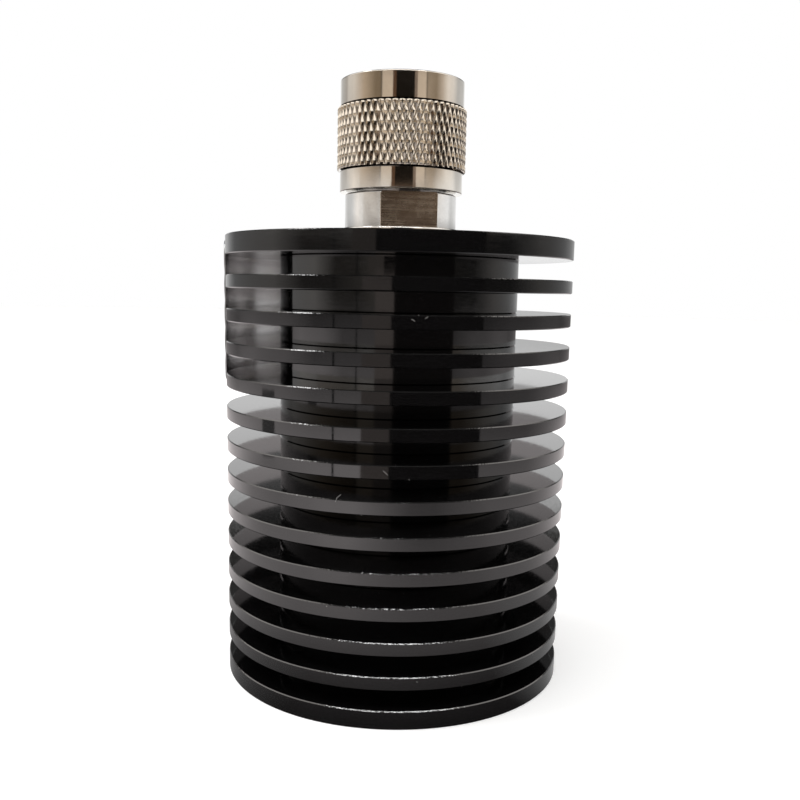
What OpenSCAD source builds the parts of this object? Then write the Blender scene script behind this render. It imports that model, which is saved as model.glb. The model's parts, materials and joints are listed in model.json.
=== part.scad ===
// Coaxial dummy load: a ring-finned heat sink with a male threaded coaxial plug on top.
// The base face is at z = 0, +Z runs along the plug's axis, and the viewer stands at -Y.

/* [Heat sink] */
// Outside diameter of the discs and fins
sink_d = 55; // [48:0.5:70]
// Height from the base face to the top face
sink_h = 70; // [64:1:90]
// Thickness of the top disc
top_t = 3; // [2:0.1:6]
// Thickness of the base disc
base_t = 2.8; // [2:0.1:6]
// Number of thin fins between the two discs
fin_count = 12; // [8:1:14]
// Thickness of a thin fin
fin_t = 2; // [1.4:0.1:2.4]
// Diameter of the core that carries the fins
core_d = 38; // [30:0.5:44]
// Bevel on the rim edges
rim_bevel = 0.2; // [0.1:0.05:0.5]
// Fillet radius between a fin and the core
root_r = 0.4; // [0.2:0.05:0.8]

/* [Label] */
// Thickness of the foil
label_t = 0.2; // [0.1:0.05:0.4]
// Height of the label
label_h = 22; // [14:0.5:30]
// Distance from the top face down to the label
label_drop = 0.7; // [0.4:0.1:2]
// Angle of the label's first edge about the axis
label_start = 87; // [60:1:120]
// Angle that the label wraps round the rims
label_arc = 100; // [60:1:120]
// Corner radius of the label
label_corner_r = 2; // [0.5:0.1:4]
// Thickness of the adhesive under the label
glue_t = 0.05; // [0.02:0.01:0.1]

/* [Connector body] */
// Diameter of the collar that seats on the heat sink
collar_d = 19; // [18.4:0.1:24]
// Height of the collar
collar_h = 1.5; // [1:0.1:4]
// Diameter of the round body below the coupling nut
body_d = 17.6; // [16.5:0.1:18.2]
// Height of the round body
body_h = 5.3; // [3:0.1:8]
// Width across the two wrench flats
flats_w = 15.3; // [14:0.1:16.4]
// Angle of the first flat about the axis
flats_angle = -80; // [-90:1:90]
// Diameter of the screwed spigot in the heat sink
spigot_d = 17; // [15.5:0.1:18]
// Length of the spigot
spigot_len = 9; // [7:0.1:12]
// Diameter of the barrel that the coupling nut turns on
barrel_d = 14; // [13.2:0.1:14.6]
// Length of the barrel
barrel_len = 4.6; // [4.2:0.1:6]
// Bore that holds the insulators
dielectric_d = 10.4; // [9.6:0.1:11]
// Wall in front of that bore
web_t = 1.9; // [1.2:0.1:2.4]
// Bevel on the body's edges
edge_bevel = 0.3; // [0.1:0.05:0.4]

/* [Coupling nut] */
// Length of the nut
nut_len = 16.75; // [15:0.05:19]
// Wall of the nut at its widest bore
nut_wall = 1.55; // [1.2:0.05:2.5]
// Length of the plain band at the rear
rear_band = 3.05; // [1.5:0.05:4]
// Bevel on the nut's outer edges
nut_bevel = 0.2; // [0.1:0.05:0.6]
// Minor diameter of the coupling thread
thread_d = 14.9; // [14:0.05:15.6]
// Length of the threaded bore
thread_len = 9.8; // [7:0.1:10]
// Bevel at the mouth of the thread
mouth_bevel = 0.7; // [0.4:0.05:1]

/* [Knurl] */
// Length of the knurled band
knurl_len = 9.8; // [8:0.1:11]
// Height of the knurl above the plain bands
knurl_h = 0.45; // [0.3:0.05:0.6]
// Diamonds round the nut
knurl_count = 58; // [40:1:70]
// Rows of diamonds along the nut
knurl_rows = 7; // [5:1:9]
// Bevel at both ends of the knurl
knurl_bevel = 0.35; // [0.2:0.05:0.5]
// Distance from the knurl's end to its first row of peaks
knurl_run_in = 0.65; // [0.6:0.05:1]

/* [Snap ring and gasket] */
// Thickness of the snap ring
ring_t = 0.8; // [0.6:0.05:1]
// Height of the ring above the barrel
ring_reach = 0.8; // [0.5:0.05:1]
// Depth of the ring's groove in the barrel
groove_depth = 0.65; // [0.4:0.05:0.8]
// Opening angle of the ring
ring_gap_angle = 40; // [20:1:70]
// Wall of the barrel in front of the groove
ring_land = 1.1; // [0.8:0.05:1.4]
// Thickness of the gasket
gasket_t = 1.6; // [1:0.1:2.4]
// Step from the barrel's edge to the gasket
gasket_step = 0.2; // [0.1:0.05:0.6]

/* [Plug interface] */
// Outside diameter of the outer contact
contact_d = 8.1; // [7.6:0.05:8.3]
// Diameter of the contact's root in the body and the gasket
contact_root_d = 8.6; // [8.4:0.05:9.2]
// Wall of the outer contact
contact_wall = 0.55; // [0.4:0.05:0.8]
// Length of the outer contact in front of the barrel
contact_reach = 10.9; // [9:0.1:11.6]
// Thickness of the contact's rear flange
contact_flange_t = 1.5; // [1:0.1:2]
// Number of slots in the contact
slot_count = 4; // [3:1:8]
// Width of a slot
slot_w = 0.5; // [0.3:0.05:0.8]
// Length of a slot
slot_len = 6; // [3:0.1:8]
// Diameter of the centre pin
pin_d = 3.04; // [2.8:0.02:3.4]
// Diameter of the pin's neck in the insulator
neck_d = 2.1; // [1.8:0.05:2.5]
// Diameter of the pin's tip
tip_d = 1.6; // [1.4:0.05:1.75]
// Length of the pin's tip
tip_len = 3.4; // [2.5:0.1:4]
// Distance from the contact's front face back to the pin's shoulder
pin_recess = 5.3; // [5:0.1:6]
// Length of the pin behind the spigot
pin_tail = 1; // [0.6:0.1:2]
// Length of the front insulator's body
front_len = 5; // [4:0.1:6]
// Length of the front insulator's nose
nose_len = 4; // [3:0.1:5]
// Length of the rear insulator
rear_len = 5; // [4:0.1:6]
// Length of the clamp ring
clamp_len = 4; // [3:0.1:4.6]
// Bore of the clamp ring
clamp_d = 8; // [6:0.1:8.6]
// Width and depth of the clamp ring's driver slot
driver_slot = 1; // [0.6:0.1:1.4]

/* [Resistor] */
// Diameter of the ceramic rod
rod_d = 6; // [5:0.1:6.6]
// Length of the rod
rod_len = 40; // [32:1:42]
// Length of the hot cap
hot_len = 5; // [4:0.1:7]
// Length of the rod inside each cap
cap_grip = 3; // [2:0.1:3.6]
// Wall of the caps
cap_wall = 0.6; // [0.4:0.05:0.9]
// Diameter of the hot cap's stub
stub_d = 1.5; // [1.2:0.05:1.7]
// Length of the stub
stub_len = 2.8; // [2:0.1:4]
// Thickness of the ground cap's flange
flange_t = 2; // [1.2:0.1:3]
// Outside diameter of the matching sleeve
sleeve_d = 15.8; // [15.2:0.1:17]
// Wall of the sleeve at its wide end
sleeve_wall = 1; // [0.6:0.05:1.4]
// Air gap round the rod at the narrow end
film_gap = 0.4; // [0.3:0.05:0.8]

/* [Fits] */
// Radial gap between pieces that are pressed or screwed together
press_gap = 0.02; // [0.01:0.005:0.04]
// Radial gap between the nut and the barrel
run_gap = 0.08; // [0.04:0.01:0.1]
// End play of the coupling nut
nut_play = 0.25; // [0.15:0.05:0.4]
// Gap between the nut's lip and the snap ring
ring_play = 0.15; // [0.1:0.05:0.3]
// Gap round the ring, the gasket and the ground cap
free_gap = 0.3; // [0.2:0.05:0.4]

/* [Hidden] */
$fn = 96;
eps = 0.01;

// Fin stack
sink_r = sink_d / 2;
fin_gap = (sink_h - top_t - base_t - fin_count * fin_t) / (fin_count + 1);
fin_pitch = fin_t + fin_gap;

// Radius of the label's corner cut, which crosses both edges and isn't tangent to them
label_corner_cut = label_corner_r * 1.1;

// Connector levels along the axis
z_spigot = sink_h - spigot_len;
z_collar = sink_h + collar_h;
z_shoulder = z_collar + body_h;
z_face = z_shoulder + barrel_len;
z_web = z_face - web_t;
z_mating = z_face + contact_reach;

// Nut and ring
groove_d = barrel_d - 2 * groove_depth;
z_groove_top = z_face - ring_land;
z_ring = z_groove_top - ring_t;
z_nut = z_shoulder + nut_play;
z_lip = z_ring - ring_play;
z_nut_top = z_nut + nut_len;
z_thread = z_nut_top - thread_len;
ring_d = barrel_d + 2 * ring_reach;
relief_d = ring_d + 2 * free_gap;
nut_r = relief_d / 2 + nut_wall;

// Knurl rows and radii
knurl_cols = 2 * knurl_count;
knurl_seat = nut_wall / 3;
knurl_low = nut_r + knurl_h / 9;
knurl_ring = nut_r + knurl_h * 0.7;
knurl_top = nut_r + knurl_h;
knurl_step = (knurl_len - 2 * knurl_run_in) / (knurl_rows - 1);
knurl_z = concat(
    [0, knurl_bevel],
    [for (k = [0 : knurl_rows - 1]) knurl_run_in + k * knurl_step],
    [knurl_len - knurl_bevel, knurl_len]
);
knurl_last = len(knurl_z) - 1;

// Insulators, pin and clamp ring
contact_bore = contact_d - 2 * contact_wall;
z_flange = z_web - contact_flange_t;
z_front = z_flange - front_len;
z_nose = z_flange + nose_len;
z_rear = z_front - rear_len;
z_clamp = z_rear - clamp_len;
z_pin_shoulder = z_mating - pin_recess;
z_pin_rear = z_spigot - pin_tail;
tip_bevel = tip_d / 4;

// Resistor and sleeve
cap_d = rod_d + 2 * press_gap + 2 * cap_wall;
z_rod_top = z_pin_rear - hot_len + cap_grip;
z_hot = z_pin_rear - hot_len;
z_rod = z_rod_top - rod_len;
z_floor = z_rod - flange_t;
z_cup = z_rod + cap_grip;
z_taper = z_cup + free_gap;

// A plain ring from z0 to z1
module tube(d_out, d_in, z0, z1) {
    translate([0, 0, z0])
        difference() {
            cylinder(d = d_out, h = z1 - z0);
            translate([0, 0, -eps])
                cylinder(d = d_in, h = z1 - z0 + 2 * eps);
        }
}

// Half section of one disc with bevelled rim edges
module disc_section(z, t) {
    polygon([
        [0, z], [sink_r - rim_bevel, z], [sink_r, z + rim_bevel],
        [sink_r, z + t - rim_bevel], [sink_r - rim_bevel, z + t], [0, z + t]
    ]);
}

// Quarter fillets at the bottom and the top of the gap that starts at z
module gap_fillets(z) {
    for (top = [0, 1])
        translate([core_d / 2 - eps, z + top * fin_gap])
            mirror([0, top])
                difference() {
                    translate([0, -eps])
                        square(root_r + eps);
                    translate([root_r + eps, root_r])
                        circle(r = root_r, $fn = 48);
                }
}

// Half section of the stepped blind bore, from the thread down to the floor
module bore_section() {
    translate([0, z_spigot - free_gap])
        square([spigot_d / 2 + press_gap, spigot_len + free_gap + eps]);
    translate([0, z_floor])
        square([sleeve_d / 2 + press_gap, z_spigot - z_floor]);
}

module heat_sink() {
    color("#1a1a1b")
        rotate_extrude()
            difference() {
                union() {
                    square([core_d / 2, sink_h - top_t / 2]);
                    disc_section(0, base_t);
                    for (i = [1 : fin_count])
                        disc_section(base_t + i * fin_pitch - fin_t, fin_t);
                    disc_section(sink_h - top_t, top_t);
                    for (i = [0 : fin_count])
                        gap_fillets(base_t + i * fin_pitch);
                }
                bore_section();
            }
}

// Cutter that rounds one corner of the label, with the corner on the local X axis
module label_corner(flip_y, flip_z) {
    reach = sink_r + glue_t - 1;
    mirror([0, flip_y, 0])
        mirror([0, 0, flip_z])
            translate([reach, 0, 0])
                difference() {
                    translate([0, -1, -1])
                        cube([label_t + 2, label_corner_r + 1, label_corner_r + 1]);
                    translate([-eps, label_corner_r, label_corner_r])
                        rotate([0, 90, 0])
                            cylinder(r = label_corner_cut, h = label_t + 2 + 2 * eps);
                }
}

module rating_label() {
    z0 = sink_h - label_drop - label_h;
    color("#8f9294")
        difference() {
            rotate([0, 0, label_start])
                rotate_extrude(angle = label_arc)
                    translate([sink_r + glue_t, z0])
                        square([label_t, label_h]);
            for (end = [0, 1], edge = [0, 1])
                rotate([0, 0, label_start + end * label_arc])
                    translate([0, 0, z0 + edge * label_h])
                        label_corner(end, edge);
        }
}

// Half section of the connector body's outside
module body_section() {
    polygon([
        [0, z_spigot], [spigot_d / 2 - edge_bevel, z_spigot],
        [spigot_d / 2, z_spigot + edge_bevel], [spigot_d / 2, sink_h],
        [collar_d / 2, sink_h], [collar_d / 2, z_collar - edge_bevel],
        [collar_d / 2 - edge_bevel, z_collar], [body_d / 2, z_collar],
        [body_d / 2, z_shoulder - edge_bevel], [body_d / 2 - edge_bevel, z_shoulder],
        [barrel_d / 2, z_shoulder], [barrel_d / 2, z_ring - ring_play],
        [groove_d / 2, z_ring - ring_play], [groove_d / 2, z_groove_top],
        [barrel_d / 2, z_groove_top], [barrel_d / 2, z_face - edge_bevel],
        [barrel_d / 2 - edge_bevel, z_face], [0, z_face]
    ]);
}

module connector_body() {
    color("#c9c1b4")
        difference() {
            rotate_extrude()
                body_section();
            translate([0, 0, z_spigot - eps])
                cylinder(d = dielectric_d + 2 * press_gap, h = z_web - z_spigot + eps);
            translate([0, 0, z_web - eps])
                cylinder(d = contact_root_d + 2 * press_gap, h = web_t + 2 * eps);
            for (side = [0, 180])
                rotate([0, 0, flats_angle + side])
                    translate([flats_w / 2, -body_d / 2, z_collar])
                        cube([body_d / 2, body_d, body_h]);
        }
}

// Radius of the knurl at a row and a column: rows of diamonds between two bevelled rings
function knurl_r(row, col) =
    row == 0 || row == knurl_last ? knurl_low :
    row == 1 || row == knurl_last - 1 ? knurl_ring :
    (row + col) % 2 == 1 ? knurl_top : knurl_low;

function knurl_point(r, col, z) = [
    r * cos(360 * col / knurl_cols),
    r * sin(360 * col / knurl_cols),
    z
];

// Two triangles of one knurl cell, split along the valley between its two peaks
function knurl_cell(row, col) =
    let (
        next = (col + 1) % knurl_cols,
        a = row * knurl_cols + col,
        b = (row + 1) * knurl_cols + col,
        c = (row + 1) * knurl_cols + next,
        d = row * knurl_cols + next
    )
    (row + col) % 2 == 1 ? [[a, b, d], [b, c, d]] : [[a, b, c], [a, c, d]];

// Band of diamonds, with a plain inner wall that lies inside the nut
module knurl_band() {
    inner_r = nut_r - knurl_seat;
    inner_low = (knurl_last + 1) * knurl_cols;
    inner_high = inner_low + knurl_cols;
    outer_high = knurl_last * knurl_cols;
    points = concat(
        [for (row = [0 : knurl_last], col = [0 : knurl_cols - 1])
            knurl_point(knurl_r(row, col), col, knurl_z[row])],
        [for (z = [0, knurl_len], col = [0 : knurl_cols - 1])
            knurl_point(inner_r, col, z)]
    );
    walls = [for (row = [0 : knurl_last - 1], col = [0 : knurl_cols - 1])
        each knurl_cell(row, col)];
    caps = [for (col = [0 : knurl_cols - 1])
        let (next = (col + 1) % knurl_cols)
        each [
            [col, next, inner_low + next, inner_low + col],
            [inner_low + col, inner_low + next, inner_high + next, inner_high + col],
            [inner_high + col, inner_high + next, outer_high + next, outer_high + col]
        ]];
    polyhedron(points, concat(walls, caps));
}

// Half section of the nut: plain bands outside, lip, relief and thread bore inside
module nut_section() {
    polygon([
        [barrel_d / 2 + run_gap, z_nut], [nut_r - nut_bevel, z_nut],
        [nut_r, z_nut + nut_bevel], [nut_r, z_nut_top - nut_bevel],
        [nut_r - nut_bevel, z_nut_top], [thread_d / 2 + mouth_bevel, z_nut_top],
        [thread_d / 2, z_nut_top - mouth_bevel], [thread_d / 2, z_thread],
        [relief_d / 2, z_thread], [relief_d / 2, z_lip],
        [barrel_d / 2 + run_gap, z_lip]
    ]);
}

module coupling_nut() {
    color("#c4b9a6")
        union() {
            rotate_extrude()
                nut_section();
            translate([0, 0, z_nut + rear_band])
                knurl_band();
        }
}

module snap_ring() {
    color("#8d8a84")
        rotate([0, 0, ring_gap_angle / 2])
            rotate_extrude(angle = 360 - ring_gap_angle)
                translate([groove_d / 2 + press_gap, z_ring])
                    square([(ring_d - groove_d) / 2 - press_gap, ring_t]);
}

module plug_gasket() {
    color("#b4412f")
        tube(barrel_d - 2 * gasket_step, contact_root_d + 2 * press_gap, z_face, z_face + gasket_t);
}

// Slotted sleeve with a rear flange that bears on the body's front wall
module outer_contact() {
    color("#d3cbbd")
        difference() {
            union() {
                translate([0, 0, z_flange])
                    cylinder(d = dielectric_d, h = contact_flange_t);
                translate([0, 0, z_flange])
                    cylinder(d = contact_root_d, h = z_face + gasket_t - z_flange);
                translate([0, 0, z_flange])
                    cylinder(d = contact_d, h = z_mating - z_flange);
            }
            translate([0, 0, z_flange - eps])
                cylinder(d = contact_bore, h = z_mating - z_flange + 2 * eps);
            for (i = [0 : slot_count - 1])
                rotate([0, 0, 360 * (i + 0.5) / slot_count])
                    translate([contact_bore / 4, -slot_w / 2, z_mating - slot_len])
                        cube([contact_d / 2, slot_w, slot_len + eps]);
        }
}

module centre_pin() {
    color("#c9a24b")
        difference() {
            rotate_extrude()
                polygon([
                    [0, z_pin_rear], [pin_d / 2, z_pin_rear], [pin_d / 2, z_flange],
                    [neck_d / 2, z_flange], [neck_d / 2, z_nose],
                    [pin_d / 2, z_nose], [pin_d / 2, z_pin_shoulder],
                    [tip_d / 2, z_pin_shoulder], [tip_d / 2, z_pin_shoulder + tip_len - tip_bevel],
                    [tip_d / 2 - tip_bevel, z_pin_shoulder + tip_len], [0, z_pin_shoulder + tip_len]
                ]);
            translate([0, 0, z_pin_rear - eps])
                cylinder(d = stub_d + 2 * press_gap, h = stub_len + free_gap + eps);
        }
}

module front_insulator() {
    color("#f1f0ec")
        difference() {
            union() {
                translate([0, 0, z_front])
                    cylinder(d = dielectric_d, h = front_len);
                translate([0, 0, z_front])
                    cylinder(d = contact_bore - 2 * press_gap, h = front_len + nose_len);
            }
            translate([0, 0, z_front - eps])
                cylinder(d = pin_d + 2 * press_gap, h = front_len + eps);
            translate([0, 0, z_flange - eps])
                cylinder(d = neck_d + 2 * press_gap, h = nose_len + 2 * eps);
        }
}

module rear_insulator() {
    color("#ecebe6")
        tube(dielectric_d, pin_d + 2 * press_gap, z_rear, z_front);
}

module clamp_ring() {
    color("#b99a55")
        difference() {
            tube(dielectric_d, clamp_d, z_clamp, z_rear);
            translate([-dielectric_d, -driver_slot / 2, z_clamp - eps])
                cube([2 * dielectric_d, driver_slot, driver_slot + eps]);
        }
}

// Sleeve with a bore that narrows towards the grounded end of the resistor
module matching_sleeve() {
    wide_d = sleeve_d - 2 * sleeve_wall;
    color("#a8aaab")
        difference() {
            translate([0, 0, z_rod])
                cylinder(d = sleeve_d, h = z_spigot - z_rod);
            translate([0, 0, z_rod - eps])
                cylinder(d = cap_d + 2 * free_gap, h = z_taper - z_rod + eps);
            translate([0, 0, z_taper - eps])
                cylinder(d1 = rod_d + 2 * film_gap, d2 = wide_d, h = z_hot - z_taper + 2 * eps);
            translate([0, 0, z_hot])
                cylinder(d = wide_d, h = z_spigot - z_hot + eps);
        }
}

module resistor_rod() {
    color("#6b6a66")
        translate([0, 0, z_rod])
            cylinder(d = rod_d, h = rod_len);
}

module resistor_hot_cap() {
    color("#cfd0cf")
        difference() {
            union() {
                translate([0, 0, z_hot])
                    cylinder(d = cap_d, h = hot_len);
                translate([0, 0, z_hot])
                    cylinder(d = stub_d, h = hot_len + stub_len);
            }
            translate([0, 0, z_hot - eps])
                cylinder(d = rod_d + 2 * press_gap, h = cap_grip + eps);
        }
}

module resistor_ground_cap() {
    color("#cfd0cf")
        difference() {
            union() {
                translate([0, 0, z_floor])
                    cylinder(d = sleeve_d, h = flange_t);
                translate([0, 0, z_floor])
                    cylinder(d = cap_d, h = z_cup - z_floor);
            }
            translate([0, 0, z_rod])
                cylinder(d = rod_d + 2 * press_gap, h = cap_grip + eps);
        }
}

heat_sink();
rating_label();
connector_body();
coupling_nut();
snap_ring();
plug_gasket();
outer_contact();
centre_pin();
front_insulator();
rear_insulator();
clamp_ring();
matching_sleeve();
resistor_rod();
resistor_hot_cap();
resistor_ground_cap();
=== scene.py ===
"""Dresses the coaxial dummy load: a ring-finned heat sink with a knurled coaxial plug on top.

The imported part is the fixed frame. The pieces that show are made again here with their edge breaks, knurl,
thread and tool marks, get their finishes and ride on the bodies that carry them. Lengths are in millimetres
up to the point where a mesh is made, and angles are in degrees, unless a docstring says otherwise.
"""

from __future__ import annotations

import json
import logging
import math
from collections.abc import Callable, Iterator
from contextlib import contextmanager
from dataclasses import dataclass
from enum import Enum

import bpy
from mathutils import Matrix, Vector

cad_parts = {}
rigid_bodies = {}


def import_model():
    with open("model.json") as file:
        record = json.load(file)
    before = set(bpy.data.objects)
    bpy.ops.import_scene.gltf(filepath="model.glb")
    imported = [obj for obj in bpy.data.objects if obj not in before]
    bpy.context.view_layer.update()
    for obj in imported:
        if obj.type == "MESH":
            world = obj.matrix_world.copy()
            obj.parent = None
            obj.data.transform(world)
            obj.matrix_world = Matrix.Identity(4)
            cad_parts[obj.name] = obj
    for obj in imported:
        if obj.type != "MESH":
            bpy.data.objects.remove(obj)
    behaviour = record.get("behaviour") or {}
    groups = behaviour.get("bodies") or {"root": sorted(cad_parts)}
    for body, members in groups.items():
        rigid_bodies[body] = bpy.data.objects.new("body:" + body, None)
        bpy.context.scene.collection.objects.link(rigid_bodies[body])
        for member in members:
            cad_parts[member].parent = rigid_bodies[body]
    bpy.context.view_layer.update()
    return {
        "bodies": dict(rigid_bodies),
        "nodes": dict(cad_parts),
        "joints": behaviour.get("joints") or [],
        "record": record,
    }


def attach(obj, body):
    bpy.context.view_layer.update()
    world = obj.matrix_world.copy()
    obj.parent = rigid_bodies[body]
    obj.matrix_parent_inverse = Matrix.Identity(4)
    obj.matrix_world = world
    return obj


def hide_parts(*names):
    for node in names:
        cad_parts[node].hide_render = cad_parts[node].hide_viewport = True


LOG = logging.getLogger("dummy_load")
MM = 0.001
AXIS = (0.0, 0.0, 1.0)
CENTRE = (0.0, 0.0, 0.0)
WHITE = (1.0, 1.0, 1.0)
# How far apart doubled points, edges on one level and points at one place may be
MERGE = 0.0002
SAME_LEVEL = 0.004
SAME_PLACE = 0.01
# Shares of a direction: along a given way, upright, steep as a wall and level
PARALLEL = 0.999
UPRIGHT = 0.9
STEEP = 0.5
LEVEL = 0.01
# Ranges of a soft noise: where most of it lies, and where stains come in
MID_NOISE = (0.3, 0.7)
STAINS = (0.35, 0.75)
# Radius at the bottom of the nut's knurl, which its finish reads too
KNURL_VALLEY = 9.82

Colour = tuple[float, float, float]
Pair = tuple[float, float]
Three = tuple[float, float, float]
Test = Callable[[Vector, Vector], bool]
Feeds = dict[str | int, object]


class Carrier(Enum):
    """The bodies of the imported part."""

    LOAD = "load"
    NUT = "nut"


class Slot(Enum):
    """The record's finish slots of the pieces that are made here."""

    BLACK = "black_anodised"
    FOIL = "label_foil"
    NICKEL = "nickel_plate"
    SILICONE = "silicone"
    CONTACT = "contact_plate"
    GOLD = "gold_plate"


class Pick(Enum):
    """What a selection is made of."""

    POINTS = "points"
    EDGES = "edges"
    FACES = "faces"


class Bench:
    """Steps of modelling that every piece shares."""

    @staticmethod
    def clear() -> None:
        """Deselect everything in the scene."""
        bpy.ops.object.select_all(action="DESELECT")

    @staticmethod
    def take(piece: bpy.types.Object) -> None:
        """Select one piece alone and make it the active one.

        Args:
            piece: The piece to work on.
        """
        Bench.clear()
        piece.select_set(True)
        bpy.context.view_layer.objects.active = piece

    @staticmethod
    @contextmanager
    def editing(piece: bpy.types.Object, kind: Pick, whole: bool = False) -> Iterator[None]:
        """Open a piece in edit mode and close it again.

        Args:
            piece: The mesh to edit.
            kind: What the selection is made of.
            whole: Whether all of it is selected first.

        Yields:
            Nothing, while the piece is open.
        """
        Bench.take(piece)
        bpy.context.scene.tool_settings.mesh_select_mode = [kind is option for option in Pick]
        bpy.ops.object.mode_set(mode="EDIT")
        try:
            if whole:
                bpy.ops.mesh.select_all(action="SELECT")
            yield
        finally:
            bpy.ops.object.mode_set(mode="OBJECT")

    @staticmethod
    def pick(piece: bpy.types.Object, kind: Pick, wanted: Test) -> None:
        """Select points, edges or faces of a piece by their place.

        Args:
            piece: The mesh to select in.
            kind: What the selection is made of.
            wanted: Takes a place in millimetres and a direction, which is the normal of a point or a face and
                the run of an edge.
        """
        mesh = piece.data
        for group in (mesh.vertices, mesh.edges, mesh.polygons):
            group.foreach_set("select", [False] * len(group))
        if kind is Pick.EDGES:
            for edge in mesh.edges:
                first, last = (mesh.vertices[index].co for index in edge.vertices)
                edge.select = wanted((first + last) / 2 / MM, (last - first).normalized())
            return
        for part in mesh.vertices if kind is Pick.POINTS else mesh.polygons:
            place = part.co if kind is Pick.POINTS else part.center
            part.select = wanted(place / MM, part.normal)

    @staticmethod
    def pick_places(piece: bpy.types.Object, places: list[Vector]) -> None:
        """Select the points of a piece that lie at some places.

        Args:
            piece: The mesh to select in.
            places: The places in millimetres.
        """

        def at_place(at: Vector, _: Vector) -> bool:
            """Whether a point lies at one of the places."""
            return any((at - place).length < SAME_PLACE for place in places)

        Bench.pick(piece, Pick.POINTS, at_place)

    @staticmethod
    def paint(piece: bpy.types.Object, index: int, wanted: Test) -> None:
        """Give the faces at some places another of the piece's finishes.

        Args:
            piece: The mesh to paint.
            index: Which of its finishes the faces get.
            wanted: Takes a face's centre in millimetres and its normal.
        """
        Bench.pick(piece, Pick.FACES, wanted)
        with Bench.editing(piece, Pick.FACES):
            piece.active_material_index = index
            bpy.ops.object.material_slot_assign()

    @staticmethod
    def close(piece: bpy.types.Object) -> None:
        """Merge doubled points and turn all the faces outwards.

        Args:
            piece: The mesh to close.
        """
        with Bench.editing(piece, Pick.POINTS, whole=True):
            bpy.ops.mesh.remove_doubles(threshold=MERGE * MM)
            bpy.ops.mesh.normals_make_consistent(inside=False)

    @staticmethod
    def smooth(piece: bpy.types.Object, degrees: float) -> None:
        """Shade a piece smooth, with sharp edges left crisp and broad faces kept flat.

        Args:
            piece: The mesh to shade.
            degrees: Angle from which an edge stays crisp.
        """
        Bench.take(piece)
        bpy.ops.object.shade_smooth_by_angle(angle=math.radians(degrees))
        even = piece.modifiers.new("even", "WEIGHTED_NORMAL")
        even.weight = 100
        even.keep_sharp = True
        Bench.apply(piece, even)

    @staticmethod
    def apply(piece: bpy.types.Object, modifier: bpy.types.Modifier) -> None:
        """Apply one modifier to a piece."""
        Bench.take(piece)
        bpy.ops.object.modifier_apply(modifier=modifier.name)

    @staticmethod
    def cut_box(piece: bpy.types.Object, low: Vector, high: Vector, turn: float) -> None:
        """Cut a box out of a piece.

        Args:
            piece: The mesh to cut.
            low: Lowest corner of the box before it is turned.
            high: Highest corner of the box before it is turned.
            turn: Angle that the box is turned about the plug's axis.
        """
        Bench.clear()
        about = Matrix.Rotation(math.radians(turn), 4, "Z")
        bpy.ops.mesh.primitive_cube_add(
            size=1.0,
            location=about @ ((low + high) / 2 * MM),
            rotation=(0.0, 0.0, math.radians(turn)),
            scale=(high - low) * MM,
        )
        cutter = bpy.context.object
        cut = piece.modifiers.new("cut", "BOOLEAN")
        cut.operation = "DIFFERENCE"
        cut.solver = "EXACT"
        cut.object = cutter
        Bench.apply(piece, cut)
        bpy.data.objects.remove(cutter, do_unlink=True)

    @staticmethod
    def join(piece: bpy.types.Object, *others: bpy.types.Object) -> None:
        """Join other meshes into a piece.

        Args:
            piece: The piece that stays.
            others: The meshes that become part of it.
        """
        Bench.take(piece)
        for other in others:
            other.select_set(True)
        bpy.ops.object.join()


@dataclass(frozen=True)
class Corner:
    """One corner of a half section.

    Attributes:
        r: Distance from the plug's axis.
        z: Height above the base face.
        soft: Radius that the corner is rounded to.
    """

    r: float
    z: float
    soft: float = 0.0


@dataclass
class Lathe:
    """Turns half sections about the plug's axis.

    Attributes:
        name: Name of the turned piece.
        steps: Facets in the turn.
        arcs: Facets in a rounded corner.
        start: Angle of the section about the axis.
        sweep: Angle that the section is turned through.
    """

    name: str
    steps: int = 128
    arcs: int = 4
    start: float = 0.0
    sweep: float = 360.0

    def place(self, r: float, z: float) -> Vector:
        """The point of the section at a radius and a height."""
        angle = math.radians(self.start)
        return Vector((r * math.cos(angle), r * math.sin(angle), z))

    def draw(self, section: list[Corner], ring: bool = False) -> bpy.types.Object:
        """Draw a half section as a chain of edges and round its corners.

        Args:
            section: Corners of the section in order.
            ring: Whether the last corner is joined to the first.

        Returns:
            The drawn section.
        """
        points = [self.place(corner.r, corner.z) for corner in section]
        Bench.clear()
        bpy.ops.mesh.primitive_plane_add(size=MM)
        piece = bpy.context.object
        piece.name = piece.data.name = self.name
        with Bench.editing(piece, Pick.POINTS, whole=True):
            bpy.ops.mesh.merge(type="CENTER")
            bpy.ops.transform.translate(value=points[0] * MM)
            for last, point in zip(points, points[1:]):
                bpy.ops.mesh.extrude_vertices_move(TRANSFORM_OT_translate={"value": (point - last) * MM})
        if ring:
            Bench.pick_places(piece, [points[0], points[-1]])
            with Bench.editing(piece, Pick.POINTS):
                bpy.ops.mesh.edge_face_add()
        for soft in sorted({corner.soft for corner in section if corner.soft}):
            Bench.pick_places(piece, [point for point, corner in zip(points, section) if corner.soft == soft])
            with Bench.editing(piece, Pick.POINTS):
                bpy.ops.mesh.bevel(affect="VERTICES", offset=soft * MM, segments=self.arcs, profile=0.5)
        return piece

    def turn(self, section: list[Corner], ring: bool = False) -> bpy.types.Object:
        """Draw a half section and turn it about the axis.

        Args:
            section: Corners of the section in order.
            ring: Whether the section is a closed outline away from the axis.

        Returns:
            The turned piece, with its faces outwards.
        """
        piece = self.draw(section, ring)
        with Bench.editing(piece, Pick.POINTS, whole=True):
            bpy.ops.mesh.spin(steps=self.steps, angle=-math.radians(self.sweep), center=CENTRE, axis=AXIS)
        Bench.close(piece)
        return piece


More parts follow.
